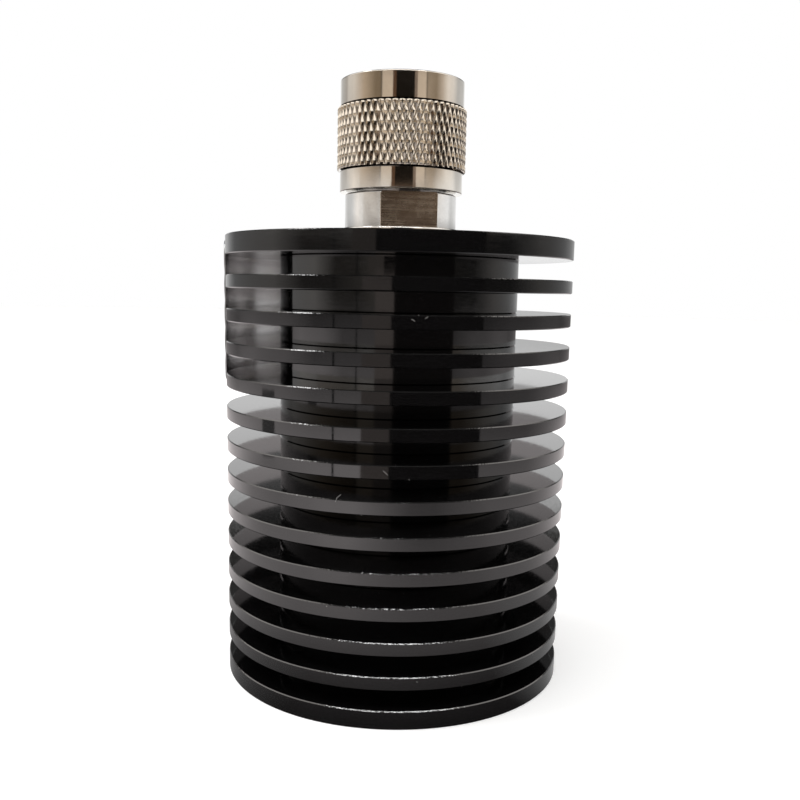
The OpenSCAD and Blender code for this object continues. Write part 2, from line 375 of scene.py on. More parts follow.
class NodeDesk:
    """Lays out the nodes of one finish or of the studio's surroundings."""

    def __init__(self, tree: bpy.types.NodeTree) -> None:
        """Start on an empty tree."""
        self.tree = tree
        tree.nodes.clear()

    def feed(self, socket: bpy.types.NodeSocket, value: object) -> None:
        """Link a socket to another one, or set it to a plain value.

        Args:
            socket: The socket to feed.
            value: Another socket, a number, a vector or a colour.
        """
        if isinstance(value, bpy.types.NodeSocket):
            self.tree.links.new(value, socket)
        elif socket.type == "RGBA":
            socket.default_value = (*value, 1.0)
        else:
            socket.default_value = value

    def add(self, kind: str, feeds: Feeds | None = None, **settings: object) -> bpy.types.Node:
        """Add a node, set its options and feed its sockets.

        Args:
            kind: Blender's name for the kind of node.
            feeds: What each socket gets, by its name or number.
            settings: The options by name.

        Returns:
            The node.
        """
        node = self.tree.nodes.new(kind)
        for name, value in settings.items():
            setattr(node, name, value)
        for key, value in (feeds or {}).items():
            self.feed(node.inputs[key], value)
        return node

    def step(self, kind: str, *values: object, **settings: object) -> bpy.types.NodeSocket:
        """The first output of a node whose first sockets get some values in order."""
        return self.add(kind, dict(enumerate(values)), **settings).outputs[0]

    def maths(self, operation: str, *values: object) -> bpy.types.NodeSocket:
        """One step of arithmetic on numbers or sockets."""
        return self.step("ShaderNodeMath", *values, operation=operation)

    def spread(
        self, value: object, low: float, high: float, first: float = 0.0, last: float = 1.0
    ) -> bpy.types.NodeSocket:
        """A number mapped from the range low to high onto the range first to last, and held there."""
        return self.step("ShaderNodeMapRange", value, low, high, first, last, clamp=True)

    def tint(self, factor: object, first: object, last: object) -> bpy.types.NodeSocket:
        """A mix of two colours, with the factor as the share of the second one."""
        return self.add("ShaderNodeMix", {0: factor, 6: first, 7: last}, data_type="RGBA").outputs[2]

    def noise(self, vector: object, scale: float, detail: float) -> bpy.types.NodeSocket:
        """Soft noise from 0 to 1, with its grains per unit of the vector and its finer layers."""
        return self.add("ShaderNodeTexNoise", {"Vector": vector, "Scale": scale, "Detail": detail}).outputs[0]

    def scaled(self, vector: bpy.types.NodeSocket, share: object) -> bpy.types.NodeSocket:
        """A vector or a colour multiplied by a number."""
        return self.add("ShaderNodeVectorMath", {0: vector, "Scale": share}, operation="SCALE").outputs[0]

    def millimetres(self) -> bpy.types.NodeSocket:
        """The place on the piece in millimetres."""
        return self.scaled(self.add("ShaderNodeTexCoord").outputs["Object"], 1.0 / MM)

    def distance(self, place: bpy.types.NodeSocket, spot: Three) -> bpy.types.NodeSocket:
        """How far a place is from a spot."""
        return self.add("ShaderNodeVectorMath", {0: place, 1: spot}, operation="DISTANCE").outputs["Value"]

    def split(self, vector: bpy.types.NodeSocket) -> tuple[bpy.types.NodeSocket, ...]:
        """The three numbers of a vector."""
        return tuple(self.add("ShaderNodeSeparateXYZ", {0: vector}).outputs)

    def vector(self, *values: object) -> bpy.types.NodeSocket:
        """The vector of three numbers."""
        return self.step("ShaderNodeCombineXYZ", *values)

    def round_place(self, along: float) -> bpy.types.NodeSocket:
        """Find the place on a turned piece as radius, angle and height, for marks that run round it.

        Args:
            along: How quickly the marks change along their run, per radian.

        Returns:
            The vector of radius, scaled angle and height, in millimetres.
        """
        x, y, z = self.split(self.millimetres())
        square = self.maths("ADD", self.maths("MULTIPLY", x, x), self.maths("MULTIPLY", y, y))
        angle = self.maths("MULTIPLY", self.maths("ARCTAN2", y, x), along)
        return self.vector(self.maths("SQRT", square), angle, z)

    def bump(self, height: bpy.types.NodeSocket, depth: float) -> bpy.types.NodeSocket:
        """The normal of a relief whose height of 1 stands for a depth in millimetres."""
        feeds = {"Strength": 1.0, "Distance": depth * MM, "Height": height}
        return self.add("ShaderNodeBump", feeds).outputs[0]

    def ramp(self, value: object, stops: list[tuple[float, Colour]]) -> bpy.types.NodeSocket:
        """Look a colour up along a ramp.

        Args:
            value: Place on the ramp, from 0 to 1.
            stops: Place and colour of each stop, in order.

        Returns:
            The colour.
        """
        node = self.add("ShaderNodeValToRGB", {0: value})
        elements = node.color_ramp.elements
        elements.remove(elements[1])
        elements[0].position = stops[0][0]
        elements[0].color = (*stops[0][1], 1.0)
        for place, colour in stops[1:]:
            elements.new(place).color = (*colour, 1.0)
        return node.outputs[0]

    def blend(self, factor: object, first: bpy.types.Node, last: bpy.types.Node) -> bpy.types.Node:
        """A mix of two shaders, with the factor as the share of the second one."""
        return self.add("ShaderNodeMixShader", {0: factor, 1: first.outputs[0], 2: last.outputs[0]})

    def backdrop(self, colour: object, strength: float = 1.0) -> bpy.types.Node:
        """A backdrop of the world."""
        return self.add("ShaderNodeBackground", {"Color": colour, "Strength": strength})

    def glow(self, colour: object) -> bpy.types.Node:
        """A shader that shows one colour in any light."""
        return self.add("ShaderNodeEmission", {"Color": colour})

    def shader(self, **sockets: object) -> bpy.types.Node:
        """A surface shader, with its sockets named with underscores."""
        return self.add("ShaderNodeBsdfPrincipled", {key.replace("_", " "): sockets[key] for key in sockets})

    def surface(self, shader: bpy.types.Node) -> None:
        """Make a shader the surface of the material."""
        self.add("ShaderNodeOutputMaterial", {"Surface": shader.outputs[0]})


def start_material(name: str) -> tuple[bpy.types.Material, NodeDesk]:
    """Start a material.

    Args:
        name: Its name.

    Returns:
        The material and a desk for its nodes.
    """
    material = bpy.data.materials.new(name)
    material.use_nodes = True
    return material, NodeDesk(material.node_tree)


@dataclass(frozen=True)
class Finish:
    """A finish with a name, which gives one material.

    Attributes:
        name: Name of the material.
        colour: Its main colour.
        rough: Lowest and highest roughness.
    """

    name: str
    colour: Colour
    rough: Pair

    def shaded(self, share: float) -> Colour:
        """The main colour, darker or lighter."""
        return tuple(share * part for part in self.colour)

    def lay(self, desk: NodeDesk) -> bpy.types.Node:
        """Lay out the finish's nodes and return its shader."""
        raise NotImplementedError

    def material(self) -> bpy.types.Material:
        """Make the material once and then share it.

        Returns:
            The material.
        """
        found = bpy.data.materials.get(self.name)
        if found:
            return found
        material, desk = start_material(self.name)
        material.diffuse_color = (*self.colour, 1.0)
        desk.surface(self.lay(desk))
        return material


@dataclass(frozen=True)
class BlackAnodise(Finish):
    """Glossy black anodised aluminium with fine turning marks and a little dust.

    Attributes:
        index: Refractive index of the oxide.
        nicked: Whether nicks break up its gleam, as on the edge breaks.
        mark: Depth of the turning marks.
        nick: Depth of the nicks.
        shades: Darkest and lightest dye, as shares of the main colour.
        places: Places for a speck of dust per millimetre.
        bare: Share of those places that have no speck.
        speck: Smallest and largest speck, as shares of a place.
        dust: Colour of the specks.
        dull: Roughness of the specks.
    """

    name: str = "black_anodise"
    colour: Colour = (0.0024, 0.0023, 0.0024)
    rough: Pair = (0.045, 0.09)
    index: float = 1.75
    nicked: bool = False
    mark: float = 0.0005
    nick: float = 0.03
    shades: Pair = (0.7, 1.5)
    places: float = 0.55
    bare: float = 0.82
    speck: Pair = (0.012, 0.05)
    dust: Colour = (0.30, 0.29, 0.28)
    dull: float = 0.8

    def specks(self, desk: NodeDesk) -> bpy.types.NodeSocket:
        """Lay out the specks of dust.

        Args:
            desk: The finish's nodes.

        Returns:
            1 on a speck and 0 elsewhere.
        """
        places = {"Vector": desk.millimetres(), "Scale": self.places}
        cells = desk.add("ShaderNodeTexVoronoi", places, feature="F1")
        chance = desk.add("ShaderNodeSeparateColor", {0: cells.outputs["Color"]})
        chosen = desk.maths("GREATER_THAN", chance.outputs[0], self.bare)
        size = desk.spread(chance.outputs[1], 0.0, 1.0, *self.speck)
        return desk.maths("MULTIPLY", desk.maths("LESS_THAN", cells.outputs["Distance"], size), chosen)

    def lay(self, desk: NodeDesk) -> bpy.types.Node:
        """Lay out dye, dust specks, and turning marks or nicks.

        Args:
            desk: The finish's nodes.

        Returns:
            The finish's shader.
        """
        rings = desk.noise(desk.round_place(along=4.0), scale=3.0, detail=3.0)
        cloud = desk.noise(desk.millimetres(), scale=0.12, detail=3.0)
        darkest, lightest = (self.shaded(share) for share in self.shades)
        speck = self.specks(desk)
        rough = desk.spread(rings, *MID_NOISE, *self.rough)
        if self.nicked:
            relief = desk.bump(desk.noise(desk.round_place(along=30.0), scale=3.0, detail=1.0), self.nick)
        else:
            relief = desk.bump(rings, self.mark)
        return desk.shader(
            Base_Color=desk.tint(speck, desk.tint(cloud, darkest, lightest), self.dust),
            Roughness=desk.maths("MAXIMUM", rough, desk.maths("MULTIPLY", speck, self.dull)),
            IOR=self.index,
            Normal=relief,
        )


@dataclass(frozen=True)
class TurnedMetal(Finish):
    """Plated or bare metal from the lathe, with fine marks round the piece.

    Attributes:
        shade: How much darker the stained places are.
        marks: Turning marks per millimetre.
        depth: Depth of the marks.
        clouded: Share of the stains in the wear.
        wear: Least and most wear, which give the lowest and highest roughness.
    """

    shade: float = 0.9
    marks: float = 6.0
    depth: float = 0.0006
    clouded: float = 0.6
    wear: Pair = (0.5, 1.1)

    def lay(self, desk: NodeDesk) -> bpy.types.Node:
        """Lay out the plate's colour, its stains and the turning marks.

        Args:
            desk: The finish's nodes.

        Returns:
            The finish's shader.
        """
        rings = desk.noise(desk.round_place(along=5.0), self.marks, detail=2.0)
        cloud = desk.noise(desk.millimetres(), scale=0.35, detail=4.0)
        wear = desk.maths("ADD", rings, desk.maths("MULTIPLY", cloud, self.clouded))
        return desk.shader(
            Base_Color=desk.tint(desk.spread(cloud, *STAINS), self.colour, self.shaded(self.shade)),
            Metallic=1.0,
            Roughness=desk.spread(wear, *self.wear, *self.rough),
            Normal=desk.bump(rings, self.depth),
        )


@dataclass(frozen=True)
class KnurledMetal(Finish):
    """Plated metal that darkens towards the bottom of the knurl's grooves, which is painted shade.

    Attributes:
        groove_shade: Colour of the painted shade at the bottom of the grooves.
        metal: How metallic the painted shade is.
        dull: Roughness of the painted shade.
        valley: Radius at the bottom of the grooves.
        unshaded_from: Radius from which the plate has no painted shade.
        ragged: How far the edge of the painted shade wanders.
        worn: How much darker the handled places are.
        depth: Depth of the plate's fine grain.
    """

    groove_shade: Colour = (0.2, 0.165, 0.13)
    metal: float = 0.5
    dull: float = 0.5
    valley: float = KNURL_VALLEY
    unshaded_from: float = 9.87
    ragged: float = 0.03
    worn: float = 0.84
    depth: float = 0.002

    def lay(self, desk: NodeDesk) -> bpy.types.Node:
        """Lay out the plate, its handling marks and the painted shade by depth.

        Args:
            desk: The finish's nodes.

        Returns:
            The finish's shader.
        """
        cloud = desk.noise(desk.millimetres(), scale=0.5, detail=4.0)
        radius, _, _ = desk.split(desk.round_place(along=1.0))
        wander = desk.spread(cloud, *MID_NOISE, -self.ragged, self.ragged)
        # Painted shade: colour, metal and roughness go from the plate's towards the darker groove colour as
        # the radius nears the valley.
        height = desk.spread(desk.maths("ADD", radius, wander), self.valley, self.unshaded_from)
        plate = desk.tint(desk.spread(cloud, *STAINS), self.colour, self.shaded(self.worn))
        return desk.shader(
            Base_Color=desk.tint(height, self.groove_shade, plate),
            Metallic=desk.spread(height, 0.0, 1.0, self.metal, 1.0),
            Roughness=desk.spread(height, 0.0, 1.0, self.dull, self.rough[0]),
            Normal=desk.bump(desk.noise(desk.millimetres(), scale=9.0, detail=2.0), self.depth),
        )


@dataclass(frozen=True)
class MilledMetal(Finish):
    """Plated metal with the straight marks of a milling cutter, level across the wrench flats.

    Attributes:
        stretch: How slowly the marks change along their run.
        shade: How much darker the marks are.
        depth: Depth of the marks.
        wear: Least and most wear, which give the lowest and highest roughness.
    """

    stretch: float = 0.03
    shade: float = 0.72
    depth: float = 0.006
    wear: Pair = (0.6, 1.3)

    def lay(self, desk: NodeDesk) -> bpy.types.Node:
        """Lay out streaks that run level across the flat.

        Args:
            desk: The finish's nodes.

        Returns:
            The finish's shader.
        """
        x, y, z = desk.split(desk.millimetres())
        level = [desk.maths("MULTIPLY", part, self.stretch) for part in (x, y)]
        streaks = desk.noise(desk.vector(*level, z), scale=3.6, detail=4.0)
        cloud = desk.noise(desk.millimetres(), scale=0.6, detail=3.0)
        return desk.shader(
            Base_Color=desk.tint(desk.spread(streaks, *MID_NOISE), self.shaded(self.shade), self.colour),
            Metallic=1.0,
            Roughness=desk.spread(desk.maths("ADD", streaks, cloud), *self.wear, *self.rough),
            Normal=desk.bump(streaks, self.depth),
        )


@dataclass(frozen=True)
class LabelFoil(Finish):
    """Bare satin foil, brushed along the label.

    Attributes:
        metal: How metallic the foil is.
        shade: How much darker the handled places are.
        depth: Depth of the brushed lines.
        wear: Least and most wear, which give the lowest and highest roughness.
    """

    metal: float = 0.85
    shade: float = 0.8
    depth: float = 0.0012
    wear: Pair = (0.7, 1.3)

    def lay(self, desk: NodeDesk) -> bpy.types.Node:
        """Lay out brushed lines and faint handling marks.

        Args:
            desk: The finish's nodes.

        Returns:
            The finish's shader.
        """
        brushed = desk.noise(desk.round_place(along=1.2), scale=9.0, detail=3.0)
        cloud = desk.noise(desk.millimetres(), scale=0.16, detail=4.0)
        return desk.shader(
            Base_Color=desk.tint(cloud, self.shaded(self.shade), self.colour),
            Metallic=self.metal,
            Roughness=desk.spread(desk.maths("ADD", brushed, cloud), *self.wear, *self.rough),
            Normal=desk.bump(brushed, self.depth),
        )


@dataclass(frozen=True)
class LabelBack(Finish):
    """The gummed side of the foil, mottled where the gum has let go.

    Attributes:
        shade: How much darker the gummed places are.
        gum: Range of the mottling over which the gum lets go.
    """

    shade: float = 0.85
    gum: Pair = (0.35, 0.7)

    def lay(self, desk: NodeDesk) -> bpy.types.Node:
        """Lay out the gum's mottling.

        Args:
            desk: The finish's nodes.

        Returns:
            The finish's shader.
        """
        cloud = desk.noise(desk.millimetres(), scale=0.25, detail=4.0)
        return desk.shader(
            Base_Color=desk.tint(desk.spread(cloud, *self.gum), self.shaded(self.shade), self.colour),
            Metallic=1.0,
            Roughness=desk.spread(cloud, *MID_NOISE, *self.rough),
        )


@dataclass(frozen=True)
class Moulded(Finish):
    """Rubber, plastic or ceramic with a fine grain.

    Attributes:
        grain: Grains per millimetre.
        depth: Depth of the grain.
        soft: Light that goes into the material.
        shade: How much darker the darkest places are.
    """

    grain: float = 5.0
    depth: float = 0.01
    soft: float = 0.0
    shade: float = 0.82

    def lay(self, desk: NodeDesk) -> bpy.types.Node:
        """Lay out the grain and a slight change of colour.

        Args:
            desk: The finish's nodes.

        Returns:
            The finish's shader.
        """
        place = desk.millimetres()
        grain = desk.noise(place, self.grain, detail=3.0)
        cloud = desk.noise(place, scale=0.5, detail=2.0)
        return desk.shader(
            Base_Color=desk.tint(cloud, self.shaded(self.shade), self.colour),
            Roughness=desk.spread(grain, *MID_NOISE, *self.rough),
            Subsurface_Weight=self.soft,
            Normal=desk.bump(grain, self.depth),
        )


class Finishes(Enum):
    """Every finish on the load."""

    BLACK = BlackAnodise()
    EDGE = BlackAnodise("black_edge_break", (0.004, 0.004, 0.004), (0.05, 0.13), 2.0, nicked=True)
    CORE = BlackAnodise("black_core", (0.003, 0.0029, 0.0029), (0.06, 0.12), 2.0)
    # A darker, duller copy of the core's finish for the lower part of the core: painted shade in the lower
    # gaps.
    CORE_LOW = BlackAnodise("black_core_shaded", (0.0026, 0.0025, 0.0026), (0.08, 0.16), 1.5)
    NICKEL = TurnedMetal("bright_nickel", (0.74, 0.70, 0.64), (0.05, 0.11))
    KNURL = KnurledMetal("knurled_nickel", (0.80, 0.73, 0.63), (0.12, 0.2))
    BODY = TurnedMetal("body_nickel", (0.80, 0.79, 0.77), (0.07, 0.14))
    MILLED = MilledMetal("milled_nickel", (0.60, 0.50, 0.40), (0.16, 0.34))
    FOIL = LabelFoil("label_foil_face", (0.52, 0.53, 0.54), (0.28, 0.4))
    FOIL_BACK = LabelBack("label_foil_back", (0.94, 0.93, 0.94), (0.15, 0.24))
    SPRING = TurnedMetal("spring_steel", (0.42, 0.41, 0.39), (0.25, 0.4))
    SILICONE = Moulded("red_silicone", (0.42, 0.055, 0.03), (0.45, 0.6), grain=8.0, depth=0.006)
    CONTACT = TurnedMetal("white_bronze", (0.72, 0.68, 0.62), (0.12, 0.22))
    GOLD = TurnedMetal("gold_plate", (0.86, 0.60, 0.22), (0.10, 0.2), shade=0.94)
    INSULATOR = Moulded("white_insulator", (0.82, 0.81, 0.78), (0.35, 0.5), grain=6.0, depth=0.004, soft=0.1)
    BRASS = TurnedMetal("turned_brass", (0.72, 0.52, 0.24), (0.2, 0.32))
    ALUMINIUM = TurnedMetal("turned_aluminium", (0.63, 0.64, 0.65), (0.22, 0.34), marks=3.0, depth=0.002)
    FILM = Moulded("film_ceramic", (0.16, 0.155, 0.15), (0.5, 0.65), grain=9.0, depth=0.003)
    LINT = Moulded("grey_lint", (0.36, 0.35, 0.34), (0.6, 0.8), grain=12.0, depth=0.002)


def finish_piece(
    piece: bpy.types.Object, carrier: Carrier, slot: Slot, node: str, *finishes: Finishes
) -> bpy.types.Object:
    """Give a piece its finishes and put it in the place of its CAD node.

    Args:
        piece: The new mesh.
        carrier: Body that it rides on.
        slot: The record's slot that its finish comes from. It is not used.
        node: CAD node that it stands for.
        finishes: Its finishes, the main one first.

    Returns:
        The piece.
    """
    piece.data.materials.clear()
    for finish in finishes:
        piece.data.materials.append(finish.value.material())
    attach(piece, carrier.value)
    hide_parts(node)
    return piece


@dataclass
class HeatSink:
    """The finned bar: a top disc, thin fins and a base disc on one bored core.

    Attributes:
        radius: Radius of the discs.
        height: Height from the base face to the top face.
        top: Thickness of the top disc.
        base: Thickness of the base disc.
        count: Number of thin fins.
        fin: Thickness of a thin fin.
        core: Radius of the core.
        rim_break: Size of the broken rim edges.
        root: Fillet between a fin and the core.
        lean: Least and most upward lean of a face that belongs to an upper edge break.
        shaded_below: Level under which the core's outside gets a darker, duller copy of its finish, which is
            painted shade.
        bore: Radius and floor of the bore for the resistor.
        screw: Radius and floor of the wider bore for the plug.
    """

    radius: float = 27.5
    height: float = 70.0
    top: float = 3.0
    base: float = 2.8
    count: int = 12
    fin: float = 2.0
    core: float = 19.0
    rim_break: float = 0.13
    root: float = 0.12
    lean: Pair = (0.3, 0.9)
    shaded_below: float = 48.0
    bore: Pair = (7.92, 16.0)
    screw: Pair = (8.52, 60.7)

    def discs(self) -> list[Pair]:
        """Work out the levels of the discs.

        Returns:
            Lowest and highest level of each disc, from the top down.
        """
        gap = (self.height - self.top - self.base - self.count * self.fin) / (self.count + 1)
        pitch = self.fin + gap
        tops = [self.base + number * pitch for number in range(self.count, 0, -1)]
        fins = [(level - self.fin, level) for level in tops]
        return [(self.height - self.top, self.height), *fins, (0.0, self.base)]

    def section(self) -> list[Corner]:
        """Draw up the half section.

        Returns:
            Its corners, from the bore's floor over the top disc down to the base.
        """
        corners = [
            Corner(0.0, self.bore[1]),
            Corner(*self.bore),
            Corner(self.bore[0], self.screw[1]),
            Corner(*self.screw),
            Corner(self.screw[0], self.height),
        ]
        for low, high in self.discs():
            if high < self.height:
                corners.append(Corner(self.core, high, self.root))
            corners.append(Corner(self.radius, high, self.rim_break))
            corners.append(Corner(self.radius, low, self.rim_break))
            if low > 0.0:
                corners.append(Corner(self.core, low, self.root))
        corners.append(Corner(0.0, 0.0))
        return corners

    def on_edge(self, at: Vector, way: Vector) -> bool:
        """Whether a face belongs to a rim's upper edge break."""
        least, most = self.lean
        return math.hypot(at.x, at.y) > self.radius - self.rim_break and least < way.z < most

    def on_core(self, at: Vector, way: Vector) -> bool:
        """Whether a face belongs to the core's outside."""
        wall = (self.screw[0] + self.core) / 2
        return abs(way.z) < STEEP and wall < math.hypot(at.x, at.y) < self.core + self.root

    def build(self) -> bpy.types.Object:
        """Turn the bar, break its edges and finish it.

        Returns:
            The bar.
        """
        piece = Lathe("finned_bar", steps=240, arcs=1).turn(self.section())
        Bench.smooth(piece, degrees=32.0)
        finishes = (Finishes.BLACK, Finishes.EDGE, Finishes.CORE, Finishes.CORE_LOW)
        finish_piece(piece, Carrier.LOAD, Slot.BLACK, "heat_sink", *finishes)
        edge, core, core_shaded = range(1, len(finishes))
        Bench.paint(piece, edge, self.on_edge)
        Bench.paint(piece, core, self.on_core)
        # The core's outside below a level gets the darker, duller copy of its finish: painted shade.
        Bench.paint(piece, core_shaded, lambda at, way: at.z < self.shaded_below and self.on_core(at, way))
        return piece


@dataclass(frozen=True)
class Fibre:
    """One bit of lint on a rim.

    Attributes:
        turn: Degrees to the right of the photo's viewer.
        level: Height above the base face.
        length: Length of the fibre.
        lean: Angle that it leans from level.
    """

    turn: float
    level: float
    length: float
    lean: float


@dataclass
class Lint:
    """The few fibres and specks of lint that cling to the front of the rims.

    Attributes:
        sink: The bar that they cling to.
        thick: Thickness of a fibre.
        blunt: Rounding of a fibre's ends, as a share of its thickness.
        proud: How far a fibre's middle stands out from the rim, as a share of its thickness.
        fibres: Place, length and lean of each.
    """

    sink: HeatSink
    thick: float = 0.055
    blunt: float = 0.35
    proud: float = 0.3
    fibres: tuple[Fibre, ...] = (
        Fibre(-2.9, 37.45, 0.85, -43.0),
        Fibre(-17.2, 33.3, 0.62, 70.0),
        Fibre(-16.4, 33.85, 0.75, 40.0),
        Fibre(4.1, 58.15, 0.55, -30.0),
        Fibre(7.8, 58.5, 0.5, 33.0),
        Fibre(5.6, 58.8, 0.12, 0.0),
        Fibre(3.9, 36.55, 0.12, 0.0),
        Fibre(-9.6, 31.4, 0.12, 0.0),
    )

    def strand(self, fibre: Fibre) -> bpy.types.Object:
        """Make one fibre: a thin bar with rounded ends that lies on the rim.

        Args:
            fibre: Where it lies and how long it is.

        Returns:
            The fibre in its place.
        """
        Bench.clear()
        bpy.ops.mesh.primitive_cylinder_add(vertices=8, radius=self.thick / 2 * MM, depth=fibre.length * MM)
        piece = bpy.context.object
        with Bench.editing(piece, Pick.POINTS, whole=True):
            bpy.ops.mesh.bisect(plane_co=CENTRE, plane_no=AXIS)
            bpy.ops.mesh.select_all(action="SELECT")
            bpy.ops.mesh.bevel(offset=self.blunt * self.thick * MM, segments=2, affect="EDGES")
        out = Vector((math.sin(math.radians(fibre.turn)), -math.cos(math.radians(fibre.turn)), 0.0))
        side = Vector((-out.y, out.x, 0.0))
        lean = math.radians(fibre.lean)
        run = math.cos(lean) * side + math.sin(lean) * Vector(AXIS)
        frame = Matrix((out.cross(run), out, run)).transposed().to_4x4()
        place = (self.sink.radius + self.proud * self.thick) * out + fibre.level * Vector(AXIS)
        piece.matrix_world = Matrix.Translation(place * MM) @ frame
        Bench.take(piece)
        bpy.ops.object.transform_apply(location=True, rotation=True, scale=True)
        return piece

    def build(self) -> bpy.types.Object:
        """Make the fibres, join them and let them ride on the bar.

        Returns:
            The lint.
        """
        first, *others = [self.strand(fibre) for fibre in self.fibres]
        Bench.join(first, *others)
        first.name = first.data.name = "rim_lint"
        Bench.close(first)
        Bench.smooth(first, degrees=40.0)
        first.data.materials.clear()
        first.data.materials.append(Finishes.LINT.value.material())
        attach(first, Carrier.LOAD.value)
        return first


@dataclass
class RatingLabel:
    """The bare foil label round the rear left of the rims, which sinks a little between the fins.

    Attributes:
        sink: The bar that it is stuck to.
        glue: Thickness of the gum.
        thick: Thickness of the foil.
        low: Level of the lower edge.
        high: Level of the upper edge.
        start: Angle of its first edge about the axis.
        arc: Angle that it wraps round.
        corner: Radius of its corners.
        sag: How far it sinks between the fins.
        ease: Distance from a fin's face, on the rim and then in the gap, over which it starts to sink.
        eased: Share of the sag that it has reached there.
        steps: Facets round it.
    """

    sink: HeatSink
    glue: float = 0.05
    thick: float = 0.2
    low: float = 47.3
    high: float = 69.3
    start: float = 87.0
    arc: float = 100.0
    corner: float = 2.0
    sag: float = 0.09
    ease: Pair = (0.3, 0.35)
    eased: float = 0.3
    steps: int = 120

    def section(self) -> list[Corner]:
        """Draw up the foil's line over the rims and into the gaps.

        Returns:
            Its corners, from the lower to the upper edge.
        """
        inner = self.sink.radius + self.glue
        before, after = self.ease
        discs = sorted(self.sink.discs())
        rows = [Corner(inner, self.low)]
        for (_, below), (above, _) in zip(discs, discs[1:]):
            if below > self.low and above < self.high:
                rows += [
                    Corner(inner, below - before),
                    Corner(inner - self.eased * self.sag, below + after),
                    Corner(inner - self.sag, (below + above) / 2),
                    Corner(inner - self.eased * self.sag, above - after),
                    Corner(inner, above + before),
                ]
        rows.append(Corner(inner, self.high))
        return rows

    def round_corners(self, piece: bpy.types.Object) -> None:
        """Draw in the ends of the foil so that its corners are round.

        Args:
            piece: The turned foil.
        """
        middle = (self.low + self.high) / 2
        half = (self.high - self.low) / 2
        step = math.radians(self.arc) / self.steps
        reach = step * (self.sink.radius + self.glue)
        first, last = math.radians(self.start), math.radians(self.start + self.arc)
        for column in range(int(self.corner / reach) + 1):
            inset = self.corner - math.sqrt(self.corner**2 - (self.corner - column * reach) ** 2)
            ends = [first + column * step, last - column * step]

            def at_end(at: Vector, _: Vector) -> bool:
                """Whether a point is in one of the two columns."""
                turn = math.atan2(at.y, at.x) % math.tau
                return any(abs(turn - end) < step / 3 for end in ends)

            Bench.pick(piece, Pick.POINTS, at_end)
            with Bench.editing(piece, Pick.POINTS):
                bpy.ops.transform.resize(
                    value=(1.0, 1.0, (half - inset) / half), center_override=(0.0, 0.0, middle * MM)
                )

    def build(self) -> bpy.types.Object:
        """Bend the foil round the rims, round its corners, thicken it and finish it.

        Returns:
            The label.
        """
        lathe = Lathe("bare_label", steps=self.steps, start=self.start, sweep=self.arc)
        piece = lathe.turn(self.section())
        face = piece.data.polygons[0]
        if face.normal.dot(Vector((face.center.x, face.center.y, 0.0))) < 0.0:
            with Bench.editing(piece, Pick.FACES, whole=True):
                bpy.ops.mesh.flip_normals()
        self.round_corners(piece)
        wall = piece.modifiers.new("foil", "SOLIDIFY")
        wall.thickness = self.thick * MM
        wall.offset = 1.0
        wall.material_offset = 1
        finish_piece(piece, Carrier.LOAD, Slot.FOIL, "rating_label", Finishes.FOIL, Finishes.FOIL_BACK)
        Bench.apply(piece, wall)
        Bench.smooth(piece, degrees=40.0)
        return piece


@dataclass
class ConnectorBody:
    """The plated body: collar, round body with two wrench flats, and the barrel for the nut.

    Attributes:
        spigot: Radius and rear level of the screwed spigot.
        seat: Level of the collar's underside.
        collar: Radius and top level of the collar.
        round_body: Radius and top level of the round body.
        barrel: Radius and front level of the barrel.
        groove: Radius, lowest and highest level of the snap ring's groove.
        bore: Radius of the bore.
        mouth: Radius of the bore's narrow mouth, and the level where it starts.
        flats: Width across the two flats.
        flats_turn: Angle of the first flat about the axis.
        cutter: How far out and to either side the milling cutter goes.
        land: How far above the collar and past the round body it goes.
        edge_break: Width of the broken edges.
    """

    spigot: Pair = (8.5, 61.0)
    seat: float = 70.0
    collar: Pair = (9.5, 71.5)
    round_body: Pair = (8.8, 76.8)
    barrel: Pair = (7.0, 81.4)
    groove: Three = (6.35, 79.35, 80.3)
    bore: float = 5.22
    mouth: Pair = (4.32, 79.5)
    flats: float = 15.3
    flats_turn: float = -80.0
    cutter: Pair = (12.0, 9.0)
    land: Pair = (0.03, 0.02)
    edge_break: float = 0.06

    def section(self) -> list[Corner]:
        """Draw up the closed half section.

        Returns:
            Its corners, the outside first and then the bores.
        """
        spigot, rear = self.spigot
        collar, collar_top = self.collar
        body, shoulder = self.round_body
        barrel, front = self.barrel
        groove, groove_low, groove_high = self.groove
        mouth, mouth_low = self.mouth
        return [
            Corner(self.bore, rear),
            Corner(spigot, rear, 0.3),
            Corner(spigot, self.seat),
            Corner(collar, self.seat),
            Corner(collar, collar_top, 0.25),
            Corner(body, collar_top),
            Corner(body, shoulder, 0.3),
            Corner(barrel, shoulder),
            Corner(barrel, groove_low),
            Corner(groove, groove_low),
            Corner(groove, groove_high),
            Corner(barrel, groove_high),
            Corner(barrel, front, 0.25),
            Corner(mouth, front),
            Corner(mouth, mouth_low),
            Corner(self.bore, mouth_low),
        ]

    def build(self) -> bpy.types.Object:
        """Turn the body, mill its flats and finish it.

        Returns:
            The body.
        """
        piece = Lathe("plug_body", steps=192, arcs=5).turn(self.section(), ring=True)
        far, aside = self.cutter
        above, past = self.land
        for side in (0.0, 180.0):
            Bench.cut_box(
                piece,
                Vector((self.flats / 2, -aside, self.collar[1] + above)),
                Vector((far, aside, self.round_body[1] + past)),
                self.flats_turn + side,
            )
        soften = piece.modifiers.new("break", "BEVEL")
        soften.width = self.edge_break * MM
        soften.segments = 2
        soften.limit_method = "ANGLE"
        soften.angle_limit = math.radians(26.0)
        Bench.apply(piece, soften)
        Bench.smooth(piece, degrees=24.0)
        finish_piece(piece, Carrier.LOAD, Slot.NICKEL, "connector_body", Finishes.BODY, Finishes.MILLED)
        turn = math.radians(self.flats_turn)
        out = Vector((math.cos(turn), math.sin(turn), 0.0))

        def on_flat(at: Vector, way: Vector) -> bool:
            """Whether a face lies in one of the two flats."""
            return abs(way.dot(out)) > PARALLEL and abs(abs(at.dot(out)) - self.flats / 2) < SAME_PLACE

        Bench.paint(piece, 1, on_flat)
        return piece


